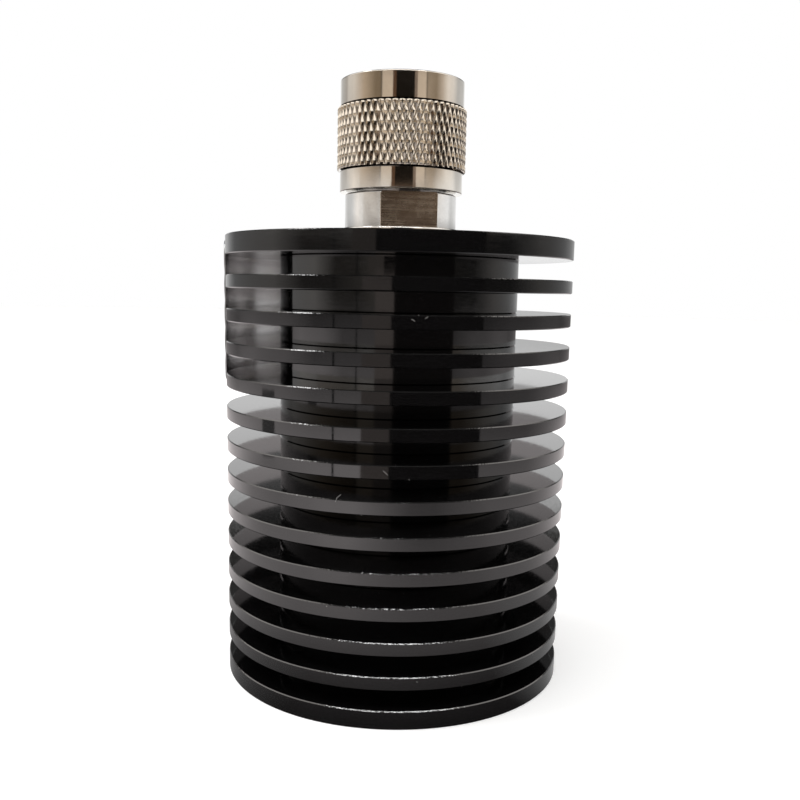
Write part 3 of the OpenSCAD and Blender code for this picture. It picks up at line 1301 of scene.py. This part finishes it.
@dataclass
class CouplingNut:
    """The captive nut: plain bands, diamond knurl and the thread inside.

    Attributes:
        radius: Radius of the plain bands.
        low: Level of the rear face.
        high: Level of the front face.
        lip: Radius of the hole in the rear lip, and level of the lip's inner face.
        room: Radius of the room for the snap ring and the gasket, and level of its end.
        mouth: Radius and depth of the bevel at the front.
        knurl_low: Level where the knurl starts.
        knurl_high: Level where the knurl ends.
        diamonds: Diamonds round the nut.
        rows: Rows of diamonds.
        run_in: Distance from the knurl's end to the first row of peaks.
        ring: Width of the bevel at both ends of the knurl.
        step: How far the bevel's foot stands out from the plain bands.
        valley: Radius at the bottom of the knurl.
        peak: Radius of the diamonds' tops.
        flat: Share of a diamond's width that is flat on top.
        pitch: Pitch of the coupling thread.
        major: Radius of the thread's root in the nut.
        minor: Radius of the thread's crest in the nut.
        thread_low: Level where the thread starts.
        run_out: Distance from the thread's end to the front face.
        sunk: How far the thread's ridge goes into the nut.
        tooth: Start of its crest, end of its crest and foot, as shares of the pitch.
    """

    radius: float = 9.65
    low: float = 77.05
    high: float = 93.8
    lip: Pair = (7.08, 79.35)
    room: Pair = (8.1, 84.0)
    mouth: Pair = (8.15, 0.25)
    knurl_low: float = 80.1
    knurl_high: float = 89.9
    diamonds: int = 58
    rows: int = 7
    run_in: float = 0.65
    ring: float = 0.3
    step: float = 0.07
    valley: float = KNURL_VALLEY
    peak: float = 10.1
    flat: float = 0.25
    pitch: float = 1.058
    major: float = 7.9
    minor: float = 7.45
    thread_low: float = 84.1
    run_out: float = 0.55
    sunk: float = 0.03
    tooth: Three = (0.43, 0.55, 0.98)

    def ends(self) -> list[Pair]:
        """Level of the bevel's foot and of the diamonds' cut, at the knurl's lower and upper end."""
        return [(self.knurl_low, self.knurl_low + self.ring), (self.knurl_high, self.knurl_high - self.ring)]

    def section(self) -> list[Corner]:
        """Draw up the half section without the knurl.

        Returns:
            Its corners, from the knurl's lower end round the inside to its upper end.
        """
        lip, lip_face = self.lip
        room, room_end = self.room
        mouth, bevel = self.mouth
        foot = self.radius + self.step
        return [
            Corner(foot, self.knurl_low),
            Corner(self.radius, self.knurl_low),
            Corner(self.radius, self.low, 0.15),
            Corner(lip, self.low, 0.1),
            Corner(lip, lip_face),
            Corner(room, lip_face),
            Corner(room, room_end),
            Corner(self.major, room_end),
            Corner(self.major, self.high - bevel),
            Corner(mouth, self.high, 0.06),
            Corner(self.radius, self.high, 0.2),
            Corner(self.radius, self.knurl_high),
            Corner(foot, self.knurl_high),
        ]

    def knurl(self) -> bpy.types.Object:
        """Make the band of diamonds: a grid turned to lozenges, each drawn out to a small flat top.

        Returns:
            The band, open at both ends, where it is cut level.
        """
        step = (self.knurl_high - self.knurl_low - 2 * self.run_in) / (self.rows - 1)
        low = self.knurl_low + self.run_in - step
        high = self.knurl_high - self.run_in + step
        Bench.clear()
        bpy.ops.mesh.primitive_cylinder_add(
            vertices=2 * self.diamonds,
            radius=self.valley * MM,
            depth=(high - low) * MM,
            end_fill_type="NOTHING",
            location=(0.0, 0.0, (low + high) / 2 * MM),
        )
        band = bpy.context.object
        bpy.ops.object.transform_apply(location=True, rotation=False, scale=False)
        Bench.pick(band, Pick.EDGES, lambda _, way: abs(way.z) > UPRIGHT)
        with Bench.editing(band, Pick.EDGES):
            bpy.ops.mesh.subdivide(number_cuts=self.rows)
            bpy.ops.mesh.select_all(action="SELECT")
            bpy.ops.mesh.unsubdivide(iterations=1)
        half = math.pi * self.valley / self.diamonds
        inner = half * step / math.hypot(half, step)
        with Bench.editing(band, Pick.FACES, whole=True):
            bpy.ops.mesh.inset(
                thickness=(1.0 - self.flat) * inner * MM,
                depth=(self.peak - self.valley) * MM,
                use_individual=True,
            )
        for (_, level), way in zip(self.ends(), (-1.0, 1.0)):
            with Bench.editing(band, Pick.FACES, whole=True):
                bpy.ops.mesh.bisect(
                    plane_co=(0.0, 0.0, level * MM),
                    plane_no=(0.0, 0.0, way),
                    clear_outer=True,
                    threshold=1e-7,
                )
        return band

    def thread(self) -> bpy.types.Object:
        """Make the ridge of the coupling thread, wound up the bore.

        Returns:
            The closed ridge.
        """
        base, root = self.thread_low, self.major + self.sunk
        crest, crest_end, foot = (base + share * self.pitch for share in self.tooth)
        section = [
            Corner(root, base),
            Corner(self.minor, crest),
            Corner(self.minor, crest_end),
            Corner(root, foot),
        ]
        ridge = Lathe("thread").draw(section, ring=True)
        wind = ridge.modifiers.new("wind", "SCREW")
        wind.axis = "Z"
        wind.angle = math.tau
        wind.screw_offset = self.pitch * MM
        wind.iterations = int((self.high - self.run_out - self.pitch - base) / self.pitch)
        wind.steps = wind.render_steps = 72
        wind.use_merge_vertices = False
        Bench.apply(ridge, wind)
        with Bench.editing(ridge, Pick.EDGES, whole=True):
            bpy.ops.mesh.fill_holes(sides=6)
        Bench.close(ridge)
        return ridge

    def build(self) -> bpy.types.Object:
        """Turn the nut, set the knurl and the thread in it and finish it.

        Returns:
            The nut.
        """
        nut = Lathe("knurled_nut", steps=232, arcs=4).turn(self.section())
        Bench.join(nut, self.knurl())
        foot = self.radius + self.step / 2
        for levels in self.ends():

            def at_end(at: Vector, way: Vector) -> bool:
                """Whether an edge lies round the bevel's foot or round the cut end of the diamonds."""
                outside = abs(way.z) < LEVEL and math.hypot(at.x, at.y) > foot
                return outside and min(abs(at.z - level) for level in levels) < SAME_LEVEL

            Bench.pick(nut, Pick.EDGES, at_end)
            with Bench.editing(nut, Pick.EDGES):
                bpy.ops.mesh.bridge_edge_loops()
        Bench.close(nut)
        Bench.join(nut, self.thread())
        Bench.smooth(nut, degrees=28.0)
        finish_piece(nut, Carrier.NUT, Slot.NICKEL, "coupling_nut", Finishes.NICKEL, Finishes.KNURL)
        margin = self.ring / 3
        low, high = self.knurl_low + margin, self.knurl_high - margin
        Bench.paint(nut, 1, lambda at, _: low < at.z < high and math.hypot(at.x, at.y) > self.radius - margin)
        return nut


@dataclass
class PlugInterface:
    """What shows in the nut's mouth: gasket, slotted contact and pin.

    Attributes:
        face: Level of the barrel's front face.
        mating: Level of the contact's front edge.
        seal: Inner radius, outer radius and height of the gasket.
        fingers: Inner and outer radius of the contact's fingers.
        flange: Radius, lowest and highest level of the contact's flange.
        shank: Radius and front level of the contact's thicker part.
        slot: Width and length of a slot in the contact.
        saw: Radii that the saw goes between, and how far it goes past the contact's front edge.
        pin_body: Radius, rear level and front level of the pin's body.
        pin_socket: Radius and floor of the socket in the pin's rear.
        pin_neck: Radius, lowest and highest level of the pin's neck.
        pin_tip: Radius and level of the pin's tip.
    """

    face: float = 81.4
    mating: float = 92.3
    seal: Three = (4.32, 6.8, 1.6)
    fingers: Pair = (3.5, 4.05)
    flange: Three = (5.2, 78.0, 79.5)
    shank: Pair = (4.3, 83.0)
    slot: Pair = (0.5, 6.0)
    saw: Three = (1.75, 5.5, 0.5)
    pin_body: Three = (1.52, 60.0, 87.0)
    pin_socket: Pair = (0.77, 63.1)
    pin_neck: Three = (1.05, 78.0, 82.0)
    pin_tip: Pair = (0.8, 90.4)

    def gasket(self) -> bpy.types.Object:
        """Make the silicone ring on the barrel's face.

        Returns:
            The gasket.
        """
        inner, outer, height = self.seal
        section = [
            Corner(inner, self.face, 0.1),
            Corner(outer, self.face, 0.1),
            Corner(outer, self.face + height, 0.4),
            Corner(inner, self.face + height, 0.3),
        ]
        piece = Lathe("seal_ring", steps=128, arcs=5).turn(section, ring=True)
        Bench.smooth(piece, degrees=30.0)
        return finish_piece(piece, Carrier.LOAD, Slot.SILICONE, "plug_gasket", Finishes.SILICONE)

    def contact(self) -> bpy.types.Object:
        """Make the slotted sleeve with its rear flange.

        Returns:
            The contact.
        """
        inner, outer = self.fingers
        flange, rear, flange_front = self.flange
        shank, shank_front = self.shank
        section = [
            Corner(inner, rear, 0.1),
            Corner(flange, rear, 0.1),
            Corner(flange, flange_front, 0.1),
            Corner(shank, flange_front),
            Corner(shank, shank_front, 0.1),
            Corner(outer, shank_front),
            Corner(outer, self.mating, 0.15),
            Corner(inner, self.mating, 0.15),
        ]
        piece = Lathe("slotted_contact", steps=128, arcs=4).turn(section, ring=True)
        width, length = self.slot
        near, far, past = self.saw
        for turn in (45.0, 135.0, 225.0, 315.0):
            Bench.cut_box(
                piece,
                Vector((near, -width / 2, self.mating - length)),
                Vector((far, width / 2, self.mating + past)),
                turn,
            )
        Bench.smooth(piece, degrees=30.0)
        return finish_piece(piece, Carrier.LOAD, Slot.CONTACT, "outer_contact", Finishes.CONTACT)

    def pin(self) -> bpy.types.Object:
        """Make the pin with its socket, neck, shoulder and rounded tip.

        Returns:
            The pin.
        """
        body, rear, shoulder = self.pin_body
        socket, floor = self.pin_socket
        neck, neck_low, neck_high = self.pin_neck
        tip, front = self.pin_tip
        section = [
            Corner(0.0, floor),
            Corner(socket, floor),
            Corner(socket, rear),
            Corner(body, rear, 0.1),
            Corner(body, neck_low),
            Corner(neck, neck_low),
            Corner(neck, neck_high),
            Corner(body, neck_high),
            Corner(body, shoulder, 0.12),
            Corner(tip, shoulder),
            Corner(tip, front, 0.5),
            Corner(0.0, front),
        ]
        piece = Lathe("gold_pin", steps=64, arcs=6).turn(section)
        Bench.smooth(piece, degrees=30.0)
        return finish_piece(piece, Carrier.LOAD, Slot.GOLD, "centre_pin", Finishes.GOLD)

    def build(self) -> list[bpy.types.Object]:
        """Make the three pieces."""
        return [self.gasket(), self.contact(), self.pin()]


@dataclass
class Inside:
    """The pieces that stay as CAD nodes, because their shape is right and they are hidden or nearly so.

    Attributes:
        finishes: Each node and its finish.
    """

    finishes: tuple[tuple[str, Finishes], ...] = (
        ("snap_ring", Finishes.SPRING),
        ("front_insulator", Finishes.INSULATOR),
        ("rear_insulator", Finishes.INSULATOR),
        ("clamp_ring", Finishes.BRASS),
        ("matching_sleeve", Finishes.ALUMINIUM),
        ("resistor_rod", Finishes.FILM),
        ("resistor_hot_cap", Finishes.CONTACT),
        ("resistor_ground_cap", Finishes.CONTACT),
    )

    def dress(self, nodes: dict[str, bpy.types.Object]) -> list[bpy.types.Object]:
        """Give each node its finish.

        Args:
            nodes: The CAD nodes by name.

        Returns:
            The dressed nodes.
        """
        for name, finish in self.finishes:
            for slot in nodes[name].material_slots:
                slot.material = finish.value.material()
        return [nodes[name] for name, _ in self.finishes]


@dataclass(frozen=True)
class PhotoCamera:
    """The photograph's camera, as fitted to the fins.

    Attributes:
        image: Width and height of the image in pixels.
        focal: Focal length in pixels.
        centre: Row of the optical centre in the image, which was cut from a taller one.
        distance: Distance from the plug's axis.
        height: Height above the base face.
        pitch: Angle that it looks down, in radians.
        yaw: Angle that it looks to the right, in radians.
        roll: Angle that it is rolled, in radians.
        sensor: Width of the sensor.
        clip: Nearest and farthest distance that it sees.
    """

    image: float = 800.0
    focal: float = 915.23
    centre: float = 441.8
    distance: float = 149.71
    height: float = 62.14
    pitch: float = 0.16496
    yaw: float = 0.00427
    roll: float = 0.01944
    sensor: float = 36.0
    clip: Pair = (5.0, 20000.0)

    def place(self) -> None:
        """Set the camera up and make it the scene's."""
        flat = math.cos(self.pitch)
        ahead = Vector((math.sin(self.yaw) * flat, math.cos(self.yaw) * flat, -math.sin(self.pitch)))
        level = Vector((math.cos(self.yaw), -math.sin(self.yaw), 0.0))
        above = level.cross(ahead)
        right = math.cos(self.roll) * level + math.sin(self.roll) * above
        up = math.cos(self.roll) * above - math.sin(self.roll) * level
        data = bpy.data.cameras.new("photo_camera")
        data.sensor_width = self.sensor
        data.sensor_fit = "HORIZONTAL"
        data.lens = self.sensor * self.focal / self.image
        data.shift_y = (self.centre - self.image / 2) / self.image
        data.clip_start, data.clip_end = (end * MM for end in self.clip)
        camera = bpy.data.objects.new("photo_camera", data)
        bpy.context.scene.collection.objects.link(camera)
        turn = Matrix((right, up, -ahead)).transposed().to_4x4()
        camera.matrix_world = Matrix.Translation((0.0, -self.distance * MM, self.height * MM)) @ turn
        bpy.context.scene.camera = camera


@dataclass(frozen=True)
class Stop:
    """The surroundings in one direction.

    Attributes:
        turn: Degrees to the right of the camera.
        level: How bright they are there.
        warmth: How warm they are, from 0 for white to 1 for amber, which keeps half of its green.
    """

    turn: float
    level: float
    warmth: float = 0.0

    @property
    def place(self) -> float:
        """The direction as a place on a ramp that goes once round."""
        return (self.turn + 180.0) / 360.0

    @property
    def colour(self) -> Colour:
        """What a shiny surface sees there."""
        return self.level, self.level * (1.0 - 0.5 * self.warmth), self.level * (1.0 - self.warmth)


@dataclass(frozen=True)
class Fade:
    """A change from one value to another, held beyond both ends.

    Attributes:
        low: Where it starts.
        high: Where it ends.
        first: Value at the start.
        last: Value at the end.
    """

    low: float
    high: float
    first: float = 0.0
    last: float = 1.0

    def along(self, desk: NodeDesk, value: object) -> bpy.types.NodeSocket:
        """The value that it has at a place."""
        return desk.spread(value, self.low, self.high, self.first, self.last)


@dataclass(frozen=True)
class Shade:
    """A soft shade on the floor, which only shiny surfaces see.

    Attributes:
        spot: Its middle.
        fade: Share of the floor's brightness by the distance from there.
    """

    spot: Three
    fade: Fade


@dataclass(frozen=True)
class Flag:
    """A curved card in front of the load, which only shiny surfaces see. It glows with its colour, so it is a
    painted reflection in them.

    Attributes:
        name: Name of the card.
        start: Degrees to the right of the camera where it starts.
        end: Degrees to the right of the camera where it ends.
        low: Level of its lower edge.
        high: Level of its upper edge.
        colour: What it shows.
    """

    name: str
    start: float
    end: float
    low: float
    high: float
    colour: Colour

    def hang(self, away: float) -> None:
        """Bend the card round the load and hide it from everything but shiny surfaces.

        Args:
            away: Distance from the plug's axis.
        """
        lathe = Lathe(self.name, steps=24, start=self.start - 90.0, sweep=self.end - self.start)
        card = lathe.turn([Corner(away, self.low), Corner(away, self.high)])
        card.visible_camera = card.visible_diffuse = card.visible_shadow = card.visible_transmission = False
        material, desk = start_material(self.name)
        desk.surface(desk.glow(self.colour))
        card.data.materials.append(material)


@dataclass(frozen=True)
class Lamp:
    """A rectangular lamp that shines at the load.

    Attributes:
        name: Name of the lamp.
        place: Where it hangs.
        size: Its width and depth.
        power: Its power in watts.
        gleams: Whether shiny surfaces show it.
    """

    name: str
    place: Three
    size: Pair
    power: float
    gleams: bool = True

    def hang(self, aim: Three) -> None:
        """Hang the lamp and point it.

        Args:
            aim: What it is pointed at.
        """
        data = bpy.data.lights.new(self.name, "AREA")
        data.shape = "RECTANGLE"
        data.size, data.size_y = (side * MM for side in self.size)
        data.energy = self.power
        lamp = bpy.data.objects.new(self.name, data)
        bpy.context.scene.collection.objects.link(lamp)
        lamp.visible_glossy = self.gleams
        lamp.location = Vector(self.place) * MM
        lamp.rotation_euler = (Vector(aim) - Vector(self.place)).to_track_quat("-Z", "Y").to_euler()


@dataclass
class Studio:
    """A pale floor, soft lamps and surroundings with a dark opening for the camera.

    Attributes:
        low: The surroundings at the horizon.
        band: The bright band over that, which the plug's body sees.
        high: The surroundings as the nut sees them.
        ceiling: The surroundings above the nut's view.
        dark: The dark ring under the ceiling, and the dark overhead.
        climbs: Elevations over which each of these gives way to the next one up.
        flags: The cards at the front.
        flag_at: Distance of the cards from the plug's axis.
        floor_steps: Distance from the axis and what the floor shows to shiny surfaces there: painted shade
            next to the load and far off, painted light between.
        floor_tint: Red, green and blue of what it shows.
        lean: How much dimmer that is to the right than to the left, by distance.
        lean_behind: Share of that lean, by how far behind the load the place is.
        brightest: The most that the lean can brighten the left.
        windows: The bright windows at the far left and right, by how far aside a place is.
        windows_far: Share of the windows, by distance.
        sides: Painted light on the floor at the left and right of the load, by how far aside a place is.
        sides_near: Share of that, by distance.
        pale: The painted light that the floor shows there.
        back: Painted light on the floor straight behind the load, by how far behind it a place is.
        back_far: Share of that, by distance.
        back_light: The painted light that the floor shows there.
        shades: Soft shades on the floor.
        paper: The floor's own colour.
        paper_glow: How much the floor is lifted to white for the camera.
        soft_colour: Colour of the light from all round.
        soft_light: Strength of the light from all round.
        lamps: The key lamp over the front, a small one at the rear left and a large soft one at the left.
        aim: What the lamps are pointed at.
    """

    low: tuple[Stop, ...] = (
        Stop(-180.0, 0.6),
        Stop(-150.0, 0.75),
        Stop(-132.0, 0.35),
        Stop(-86.0, 0.5, 0.1),
        Stop(-62.0, 0.08, 0.2),
        Stop(-38.0, 0.08, 0.2),
        Stop(-22.0, 0.2, 0.2),
        Stop(0.0, 0.03, 0.2),
        Stop(74.0, 0.04, 0.1),
        Stop(100.0, 0.28, 0.1),
        Stop(130.0, 0.35),
        Stop(152.0, 0.5),
        Stop(180.0, 0.6),
    )
    band: tuple[Stop, ...] = (
        Stop(-180.0, 1.0),
        Stop(-140.0, 0.65),
        Stop(-118.0, 0.75),
        Stop(-100.0, 1.15, 0.1),
        Stop(-84.0, 1.0, 0.06),
        Stop(-81.0, 0.8, 0.12),
        Stop(-51.0, 0.72, 0.14),
        Stop(-32.0, 0.9, 0.05),
        Stop(36.0, 0.7, 0.2),
        Stop(58.0, 0.65, 0.25),
        Stop(72.0, 0.95, 0.06),
        Stop(87.0, 1.05, 0.03),
        Stop(113.0, 1.1),
        Stop(126.0, 0.75),
        Stop(180.0, 1.0),
    )
    high: tuple[Stop, ...] = (
        Stop(-180.0, 0.95),
        Stop(-165.0, 1.0),
        Stop(-150.0, 0.6),
        Stop(-125.0, 0.5, 0.1),
        Stop(-118.0, 0.75, 0.1),
        Stop(-100.0, 0.8, 0.15),
        Stop(-75.0, 0.55, 0.4),
        Stop(-50.0, 0.25, 0.5),
        Stop(-41.0, 0.25, 0.5),
        Stop(-39.0, 0.05, 0.4),
        Stop(-36.5, 0.65, 0.35),
        Stop(43.0, 0.7, 0.35),
        Stop(44.5, 0.1, 0.4),
        Stop(47.0, 0.4, 0.4),
        Stop(64.0, 0.32, 0.45),
        Stop(78.0, 0.6, 0.3),
        Stop(92.0, 0.95, 0.15),
        Stop(108.0, 0.9, 0.1),
        Stop(122.0, 0.6),
        Stop(150.0, 0.65),
        Stop(165.0, 1.0),
        Stop(180.0, 0.95),
    )
    ceiling: tuple[Stop, ...] = (
        Stop(-180.0, 0.1),
        Stop(-140.0, 0.1),
        Stop(-120.0, 1.35, 0.1),
        Stop(120.0, 1.35, 0.1),
        Stop(140.0, 0.1),
        Stop(180.0, 0.1),
    )
    dark: Colour = (0.07, 0.068, 0.065)
    climbs: tuple[Pair, ...] = ((3.6, 4.2), (5.6, 7.2), (13.2, 14.6), (17.0, 20.0), (56.0, 61.0))
    flags: tuple[Flag, ...] = (
        Flag("left_post", -37.0, -35.8, 10.0, 76.0, (0.03, 0.03, 0.03)),
        Flag("left_block", -88.0, -77.0, 17.0, 35.0, (0.22, 0.21, 0.21)),
        Flag("low_flag", -4.0, 49.0, 10.0, 66.0, (0.022, 0.019, 0.019)),
        Flag("low_trim", -20.0, -4.0, 10.0, 66.0, (0.31, 0.265, 0.245)),
        Flag("rim_flag", -13.0, 49.0, 66.0, 80.5, (0.015, 0.013, 0.013)),
        Flag("rim_trim", -26.0, -13.0, 66.0, 80.5, (0.18, 0.155, 0.14)),
        Flag("body_flag", -19.0, 27.0, 80.5, 90.0, (0.15, 0.105, 0.075)),
        Flag("nut_flag", -11.0, 21.0, 90.0, 128.0, (0.009, 0.007, 0.005)),
        Flag("nut_trim_left", -17.0, -11.0, 90.0, 128.0, (0.11, 0.06, 0.035)),
        Flag("nut_trim_right", 21.0, 26.0, 90.0, 128.0, (0.25, 0.19, 0.15)),
    )
    flag_at: float = 135.0
    floor_steps: tuple[Pair, ...] = (
        (0.0, 0.05),
        (28.0, 0.06),
        (31.0, 0.10),
        (42.0, 0.21),
        (54.0, 0.44),
        (68.0, 0.77),
        (90.0, 0.98),
        (140.0, 1.2),
        (220.0, 1.12),
        (340.0, 0.68),
        (510.0, 0.38),
        (880.0, 0.24),
        (1700.0, 0.20),
        (2500.0, 0.16),
    )
    floor_tint: Colour = (1.0, 0.93, 0.93)
    lean: Fade = Fade(80.0, 320.0, 0.3, 0.68)
    lean_behind: Fade = Fade(0.0, 0.6, 1.0, 0.3)
    brightest: float = 1.15
    windows: tuple[Fade, Fade] = (Fade(-0.97, -0.8, 1.6, 0.0), Fade(0.75, 0.97, 0.0, 1.0))
    windows_far: Fade = Fade(300.0, 900.0, 0.1, 1.0)
    sides: tuple[Fade, Fade] = (Fade(-0.97, -0.6, 0.18, 0.0), Fade(0.72, 0.97, 0.0, 0.6))
    sides_near: Fade = Fade(55.0, 110.0, 1.0, 0.0)
    pale: Colour = (0.9, 0.9, 0.9)
    back: Fade = Fade(0.94, 0.98)
    back_far: Fade = Fade(350.0, 600.0)
    back_light: Colour = (1.1, 1.1, 1.1)
    shades: tuple[Shade, ...] = (
        Shade((45.0, -150.0, 0.0), Fade(20.0, 110.0, 0.4)),
        Shade((-170.0, -5.0, 0.0), Fade(40.0, 130.0, 0.62)),
    )
    paper: Colour = (0.88, 0.88, 0.88)
    paper_glow: float = 0.3
    soft_colour: Colour = (1.0, 0.99, 0.975)
    soft_light: float = 0.8
    lamps: tuple[Lamp, ...] = (
        Lamp("key_lamp", (0.0, -400.0, 850.0), (1100.0, 70.0), 2.4),
        Lamp("rear_lamp", (-470.0, 170.0, 800.0), (140.0, 140.0), 0.5),
        Lamp("left_lamp", (-900.0, -100.0, 900.0), (700.0, 700.0), 6.0, gleams=False),
    )
    aim: Three = (0.0, 0.0, 40.0)

    def tent(self, desk: NodeDesk) -> bpy.types.NodeSocket:
        """Lay out what shiny surfaces see round the load, from the horizon up.

        Args:
            desk: The world's nodes.

        Returns:
            The colour by direction.
        """
        look = desk.add("ShaderNodeTexCoord")
        x, y, z = desk.split(look.outputs["Generated"])
        turn = desk.spread(desk.maths("ARCTAN2", x, desk.maths("MULTIPLY", y, -1.0)), -math.pi, math.pi)
        low, band, high, ceiling = (
            desk.ramp(turn, [(stop.place, stop.colour) for stop in stops])
            for stops in (self.low, self.band, self.high, self.ceiling)
        )
        rise = desk.maths("ARCSINE", z)
        seen = low
        for climb, above in zip(self.climbs, (band, high, self.dark, ceiling, self.dark)):
            seen = desk.tint(desk.spread(rise, *map(math.radians, climb)), seen, above)
        return seen

    def surround(self) -> None:
        """Set the world: white to the camera, a tent to shiny surfaces and soft light to the rest."""
        world = bpy.data.worlds.new("surroundings")
        world.use_nodes = True
        bpy.context.scene.world = world
        desk = NodeDesk(world.node_tree)
        light = desk.add("ShaderNodeLightPath")
        soft = desk.backdrop(self.soft_colour, self.soft_light)
        inner = desk.blend(light.outputs["Is Glossy Ray"], soft, desk.backdrop(self.tent(desk)))
        seen = desk.maths("MAXIMUM", light.outputs["Is Camera Ray"], light.outputs["Is Transmission Ray"])
        world_shader = desk.blend(seen, inner, desk.backdrop(WHITE))
        desk.add("ShaderNodeOutputWorld", {"Surface": world_shader.outputs[0]})

    def floor_mirror(self, desk: NodeDesk) -> bpy.types.NodeSocket:
        """Lay out what shiny surfaces see of the floor: dim in the load's shade and far off, bright between.

        Args:
            desk: The floor's nodes.

        Returns:
            The colour by place.
        """
        place = desk.millimetres()
        x, y, _ = desk.split(place)
        far = desk.distance(place, CENTRE)
        reach = self.floor_steps[-1][0]
        steps = [
            (step / reach, tuple(shown * part for part in self.floor_tint))
            for step, shown in self.floor_steps
        ]
        rings = desk.ramp(desk.maths("DIVIDE", far, reach), steps)
        across, behind = (desk.maths("DIVIDE", part, desk.maths("MAXIMUM", far, 1.0)) for part in (x, y))
        tilt = desk.maths("MULTIPLY", across, self.lean.along(desk, far))
        lean = desk.maths("MULTIPLY", tilt, self.lean_behind.along(desk, behind))
        bright = desk.maths("MINIMUM", desk.maths("SUBTRACT", 1.0, lean), self.brightest)
        windows, sides = (
            desk.maths("MAXIMUM", *(fade.along(desk, across) for fade in pair))
            for pair in (self.windows, self.sides)
        )
        window = desk.maths("MULTIPLY", windows, self.windows_far.along(desk, far))
        share = desk.maths("ADD", bright, window)
        for shade in self.shades:
            gone = desk.distance(place, shade.spot)
            share = desk.maths("MULTIPLY", share, shade.fade.along(desk, gone))
        beside = desk.maths("MULTIPLY", sides, self.sides_near.along(desk, far))
        backed = desk.maths("MULTIPLY", self.back.along(desk, behind), self.back_far.along(desk, far))
        lifted = desk.tint(backed, desk.tint(beside, rings, self.pale), self.back_light)
        return desk.scaled(lifted, share)

    def floor(self) -> None:
        """Lay the pale round floor, which is white to the camera and keeps the load's shadow."""
        Bench.clear()
        bpy.ops.mesh.primitive_circle_add(vertices=128, radius=self.floor_steps[-1][0] * MM, fill_type="NGON")
        floor = bpy.context.object
        floor.name = "pale_floor"
        material, desk = start_material("pale_floor")
        light = desk.add("ShaderNodeLightPath")
        paper = desk.shader(
            Base_Color=self.paper,
            Roughness=0.9,
            Specular_IOR_Level=0.1,
            Emission_Color=WHITE,
            Emission_Strength=desk.maths("MULTIPLY", light.outputs["Is Camera Ray"], self.paper_glow),
        )
        # Shiny surfaces see this glow in place of the paper: a painted reflection of the floor, with painted
        # shade and painted light.
        mirror = desk.glow(self.floor_mirror(desk))
        desk.surface(desk.blend(light.outputs["Is Glossy Ray"], paper, mirror))
        floor.data.materials.append(material)

    def build(self) -> None:
        """Set up the world, the floor, the cards and the lamps."""
        bpy.context.scene.view_settings.view_transform = "Standard"
        self.surround()
        self.floor()
        for flag in self.flags:
            flag.hang(self.flag_at)
        for lamp in self.lamps:
            lamp.hang(self.aim)


def main() -> None:
    """Build the load piece by piece in its studio."""
    logging.basicConfig(level=logging.INFO, format="%(name)s: %(message)s")
    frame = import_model()
    PhotoCamera().place()
    Studio().build()
    sink = HeatSink()
    pieces = [sink.build(), Lint(sink).build(), RatingLabel(sink).build()]
    pieces += [ConnectorBody().build(), CouplingNut().build()]
    pieces += PlugInterface().build()
    pieces += Inside().dress(frame["nodes"])
    for piece in pieces:
        LOG.info("%s: %d faces", piece.name, len(piece.data.polygons))


if __name__ == "__main__":
    main()
